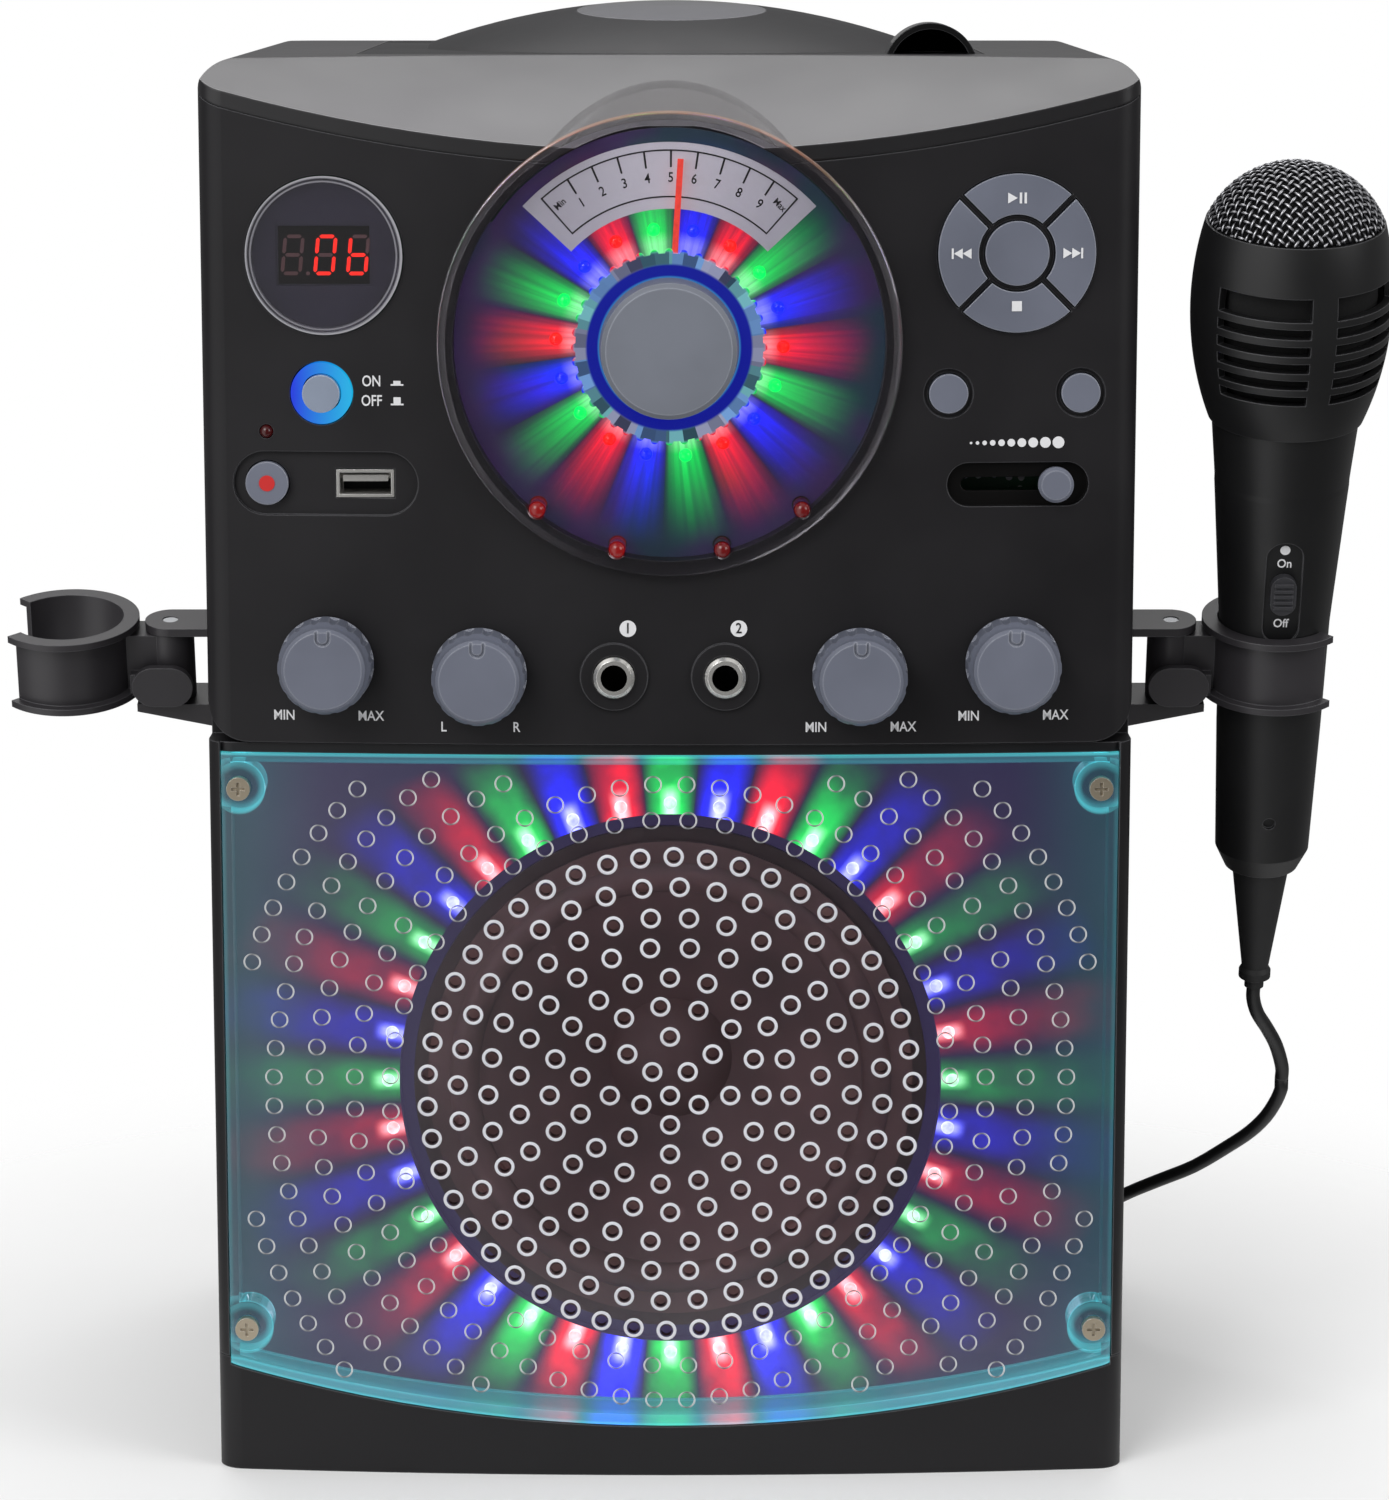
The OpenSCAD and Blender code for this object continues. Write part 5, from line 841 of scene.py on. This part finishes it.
def collars(name, spots, profile, sides, finish):
    """Small turned rings standing on the bowed cover; profile is radius and height in mm."""
    points, faces, n = [], [], len(profile)
    for x, z in spots:
        first = len(points)
        for k in range(sides):
            a = 2 * math.pi * k / sides
            for r, h in profile:
                px, pz = x + r / 1000 * math.cos(a), z + r / 1000 * math.sin(a)
                points.append((px, bow_y - math.sqrt((bow_r - 0.0003) ** 2 - px * px) - h / 1000, pz))
        for k in range(sides):
            for j in range(n - 1):
                faces.append((first + k * n + j, first + (k + 1) % sides * n + j,
                              first + (k + 1) % sides * n + j + 1, first + k * n + j + 1))
    return piece(name, points, faces, finish, "case", "clear_plastic")


def on_ring(r, a):
    """The place at r mm from the speaker's middle, a degrees clockwise from its top."""
    return r / 1000 * math.sin(math.radians(a)), speaker_z + r / 1000 * math.cos(math.radians(a))


holes = [on_ring(r, a0 + i * 360 / n) for r, n, a0 in hole_rings for i in range(n)]
# Painted highlight: the collars are painted pale with a faint glow for the studio light they catch all round,
# so they read as white rings
collar_highlight = glowing("moulded clear collar", "#ffffff", 0.12, "#c9c9d0")
collars("hole_collars", holes, [(1.78, 0.0), (1.84, 0.26), (2.05, 0.4), (2.3, 0.36), (2.5, 0.2), (2.6, 0.0)],
        20, collar_highlight)
dimples = []
for r, n in ((71.7, 48), (80.9, 60), (91.2, 72), (101.7, 84), (112.0, 92)):
    for i in range(n):
        x, z = on_ring(r, (i + 0.5) * 360 / n)
        from_bosses = min(math.hypot(abs(x) - screw_x, z - s) for s in screw_zs)
        from_edge = smile_r - math.hypot(x, z - smile_low - smile_r)
        if abs(x) < 0.1085 and z < 0.184 and from_edge > 0.006 and from_bosses > 0.0095:
            dimples.append((x, z))
# Painted highlight: the dimples glow on their left and right faces alone, for the light they catch there
dimple_highlight = glowing("moulded clear dimple", "#ffffff", 0.0, "#3c3d46")
tree, shader = inside(dimple_highlight)
side = add(tree, "SeparateXYZ", {0: add(tree, "NewGeometry").outputs["Normal"]}).outputs["X"]
side = add(tree, "Math", {0: side}, operation="ABSOLUTE")
side = add(tree, "MapRange", {0: side, 1: 0.1, 2: 0.6, 3: 0.1, 4: 0.75})
feed(shader, {"Emission Strength": side})
collars("cover_dimples", dimples, [(1.85, 0.0), (1.98, 0.16), (2.14, 0.16), (2.24, 0.0)], 24, dimple_highlight)

# ---- Reflector behind the cover ----
# Vacuum-metallised violet panel. Each lamp in its ring throws a petal of its own colour, painted on
# the panel as emission, short above and below the speaker and long at the sides.
reflector = grained("violet metallised panel", "#433f52", 0.34, 1.6, 0.006, Metallic=0.4)
tree, shader = inside(reflector)
petal_colour, square, reach, angle, spot = fan(tree, speaker_z, 0, ring_pitch)
spread = add(tree, "MapRange", {0: square, 1: -0.1, 2: 0.75}, interpolation_type="SMOOTHSTEP")
aside = add(tree, "Math", {0: angle}, operation="SINE")
aside = add(tree, "Math", {0: aside}, operation="ABSOLUTE")
far = add(tree, "MapRange", {0: aside, 1: 0.5, 2: 0.95, 3: 0.098, 4: 0.118})
fade = add(tree, "MapRange", {0: reach, 1: far, 2: 0.0715})
fade = add(tree, "Math", {0: fade, 1: 1.15}, operation="POWER")
outside = add(tree, "Math", {0: reach, 1: 0.0701}, operation="GREATER_THAN")
level = add(tree, "MapRange", {0: aside, 1: 0.3, 2: 0.85, 3: 2.4, 4: 0.5})
# ripples of about 10 mm in the film
ripple = add(tree, "TexNoise", {"Vector": add(tree, "TexCoord").outputs["Object"], "Scale": 95, "Detail": 3})
ripple = add(tree, "MapRange", {0: ripple, 1: 0.35, 2: 0.65, 3: 0.6, 4: 1.25})
shine = spread
for part in (fade, outside, level, ripple):
    shine = add(tree, "Math", {0: shine, 1: part}, operation="MULTIPLY")
# a painted glint just outside each lamp
close = add(tree, "MapRange", {0: reach, 1: 0.0785, 2: 0.0745}, interpolation_type="SMOOTHSTEP")
middle = add(tree, "MapRange", {0: square, 1: 0.55, 2: 0.9})
for part in (middle, outside):
    close = add(tree, "Math", {0: close, 1: part}, operation="MULTIPLY")
shine = add(tree, "Math", {0: close, 1: 1.6, 2: shine}, operation="MULTIPLY_ADD")
hot = add(tree, "Math", {0: close, 1: 0.3}, operation="MULTIPLY")
glow = add(tree, "Mix", {0: hot, "A": petal_colour, "B": (1, 1, 1, 1)}, data_type="RGBA")
# painted glow: dim violet everywhere, and painted teal light from the cover's edges at the far left and right
lit = add(tree, "VectorMath", {0: glow, "Scale": shine}, operation="SCALE")
wide = add(tree, "Math", {0: spot.outputs["X"]}, operation="ABSOLUTE")
teal = add(tree, "MapRange", {0: wide, 1: 0.085, 2: 0.114}, interpolation_type="SMOOTHSTEP")
painted_mist = add(tree, "Mix", {0: teal, "A": linear("#382c4e"), "B": linear("#34565e")}, data_type="RGBA")
painted_mist = add(tree, "VectorMath", {0: painted_mist, "Scale": 0.75}, operation="SCALE")
lit = add(tree, "VectorMath", {0: lit, 1: painted_mist}, operation="ADD")
feed(shader, {"Emission Color": lit, "Emission Strength": 1.0})
dress(reflector, "speaker_baffle")

# ---- Speaker ----
# Pressed steel basket, and a paper cone with a rubber roll and a dust cap, dark brown in here.
dress(grained("black-passivated steel", "#6a5452", 0.45, 0.8, 0.02, edge=0.3, Metallic=0.8), "speaker_frame")
dress(grained("pressed paper pulp", "#7d5753", 0.6, 1.6, 0.05, mottle=0.3), "speaker_cone")

# ---- Lid, window and finger hood ----
# Satin black lid with a shallow dome, a smoked window in its middle and a gloss black hood.
dress(grained("satin lid ABS", "#1d1c1f", 0.42, 0.9, 0.008, edge=0.5, Specular_IOR_Level=0.2), "disc_lid")
# the window's light grey is a painted reflection of the lights above, and its pale edges a painted highlight
dress(grained("smoked window acrylic", "#a2a2a8", 0.08, 30, 0.002, edge=0.5, edge_light="#ececf0", mottle=0.03,
              Transmission_Weight=0.45, IOR=1.49),
      "lid_window")
dress(grained("gloss black ABS", "#0b0b0c", 0.08, 2.0, 0.002, edge=0.4, Coat_Weight=0.5), "lid_pull")

# ---- Disc drive ----
# Under the lid: a black turntable, a sled on two steel rods with its rack, and two can motors.
dress(grained("glass-filled black nylon", "#202023", 0.5, 0.7, 0.03, edge=0.2), "turntable", "laser_sled")
dress(grained("plated motor cans", "#9c9ea3", 0.3, 0.6, 0.008, edge=0.2, Metallic=1.0), "drive_motors",
      "transformer")

# ---- Circuit boards ----
# Glass-epoxy boards under green lacquer, with tinned pads in rows.
board = grained("green solder lacquer", "#16502c", 0.35, 1.5, 0.01)
tree, shader = inside(board)
spot = add(tree, "TexCoord").outputs["Object"]
# pads of about 2 mm, 3.6 mm apart, in fields of 17 mm
pads = add(tree, "TexVoronoi", {"Vector": spot, "Scale": 280, "Randomness": 0.25})
pads = add(tree, "Math", {0: pads, 1: 0.24}, operation="LESS_THAN")
rows = add(tree, "TexNoise", {"Vector": spot, "Scale": 60})
rows = add(tree, "Math", {0: rows, 1: 0.52}, operation="GREATER_THAN")
pads = add(tree, "Math", {0: pads, 1: rows}, operation="MULTIPLY")
repaint(board, pads, "#b9bbbd")
dress(board, "circuit_boards")

# ---- Microphone holders ----
# Swivelling rings and their brackets in charcoal nylon, with pins through the knuckles.
dress(grained("charcoal nylon", "#323033", 0.38, 0.8, 0.02, edge=0.35, Specular_IOR_Level=0.5),
      "holder_brackets", "left_holder", "right_holder")

# ---- Microphone ----
# Black ABS handle with a soft satin, a slotted head, a slide switch and a rubber boot.
mic_black = grained("satin microphone ABS", "#161617", 0.44, 0.7, 0.02, edge=0.4, Specular_IOR_Level=0.45)
dress(mic_black, "mic_head", "mic_handle")
dress(grained("switch ABS", "#343438", 0.4, 0.6, 0.01, edge=0.2), "mic_switch")
dress(grained("boot rubber", "#171718", 0.6, 0.9, 0.05), "strain_relief")

# The mesh cap: woven black-lacquered wire pressed into a dome, over a foam liner
ring_centre = Vector((0.158, -0.053, 0.2077))
mic_up = Vector((0, -math.sin(lean), math.cos(lean)))
mic_side = Vector((1, 0, 0))
mic_front = mic_up.cross(mic_side)
# the dome's middle on the microphone's axis, its radius, and how far its rim lies above that middle
cap_centre = ring_centre + mic_up * 0.1093
cap_r, rim_h = 0.0240, 0.0098


def on_dome(u, v, out):
    """The point of the dome where a flat cloth point, pressed over it from its top, comes to lie."""
    far = math.hypot(u, v)
    a = far / cap_r
    if far < 1e-9:
        return cap_centre + mic_up * (cap_r + out)
    flat = (mic_side * u + mic_front * v) / far
    return cap_centre + (mic_up * math.cos(a) + flat * math.sin(a)) * (cap_r + out)


# painted highlight: the wires' crests are painted bright, and between them the lacquer stays black
mesh_wire = grained("black-lacquered steel wire", "#26262a", 0.2, 0.6, 0.01, Metallic=0.6)
tree, shader = inside(mesh_wire)
spot = add(tree, "TexCoord").outputs["Object"]
crest_highlight = add(tree, "VectorMath", {0: spot, 1: tuple(cap_centre)}, operation="DISTANCE")
crest_highlight = add(tree, "MapRange", {0: crest_highlight, 1: cap_r + 0.0003, 2: cap_r + 0.0006})
repaint(mesh_wire, crest_highlight, "#c2c2c6")
# the cloth before it is pressed: its radius, the wires' spacing (drawn coarser than the real one, so that
# it shows), their height in the weave and their radius
cloth_r = cap_r * math.acos(rim_h / cap_r)
pitch, crimp, wire_r = 0.0021, 0.00028, 0.00038
count = int(cloth_r / pitch)
half_turn = math.sqrt(0.5)
wire_points, wire_faces = [], []
for way in (0, 1):
    for i in range(-count, count + 1):
        off = i * pitch
        half = math.sqrt(max(cloth_r ** 2 - off ** 2, 0))
        if half < 0.002:
            continue
        n = max(int(2 * half / 0.0007), 2)
        line = []
        for k in range(n + 1):
            along = -half + 2 * half * k / n
            weave = crimp * math.cos(math.pi * along / pitch) * (-1) ** (i + way)
            u, v = (along, off) if way == 0 else (off, along)
            line.append(on_dome(half_turn * (u - v), half_turn * (u + v), weave))
        points, faces = swept(line, circle(wire_r, 6))
        faces = [tuple(len(wire_points) + j for j in f) for f in faces]
        wire_points += points
        wire_faces += faces
mesh_cap = piece("mesh_cap", wire_points, wire_faces, mesh_wire, "microphone", "mic_mesh")
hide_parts("mic_grille")
# the foam goes on down inside the head, where it closes the slots from view
foam = grained("open-cell foam", "#0d0d0e", 0.95, 1.0, 0.3)
liner = [((cap_r - 0.0013) * math.sin(a), (cap_r - 0.0013) * math.cos(a))
         for a in (math.acos(rim_h / cap_r) * j / 15 for j in range(16))]
liner += [(0.0209, 0.006), (0.0216, 0.0), (0.0217, -0.010), (0.0212, -0.020), (0.0200, -0.028),
          (0.0186, -0.0335), (0.0100, -0.0350), (0.0, -0.0352)]
points = [cap_centre + mic_up * h + (mic_side * x + mic_front * y) * r
          for r, h in liner for x, y in circle(1, 48)]
faces = [tuple(reversed(face)) for face in skin(len(liner), 48)]
piece("foam_liner", points, faces, foam, "microphone", "mic_mesh")

# On the handle's switch plate: a dot, On above the slide and Off below it
handle_at = (Matrix.Translation(ring_centre) @ Matrix.Rotation(lean, 4, "X")
             @ Matrix.Translation((0, -0.0154, 0.0228)) @ Matrix.Rotation(math.radians(4.31), 4, "X"))
for name, words, z in (("mic_on_word", "On", 0.0083), ("mic_off_word", "Off", -0.0090)):
    printed(name, words, 0.0024, handle_at @ Matrix.Translation((0, 0.00137, z)), body="microphone")
plate("mic_on_dot", disc(0.0013), handle_at @ Matrix.Translation((0, 0.00135, 0.0122)), ink, "microphone",
      "mic_black")
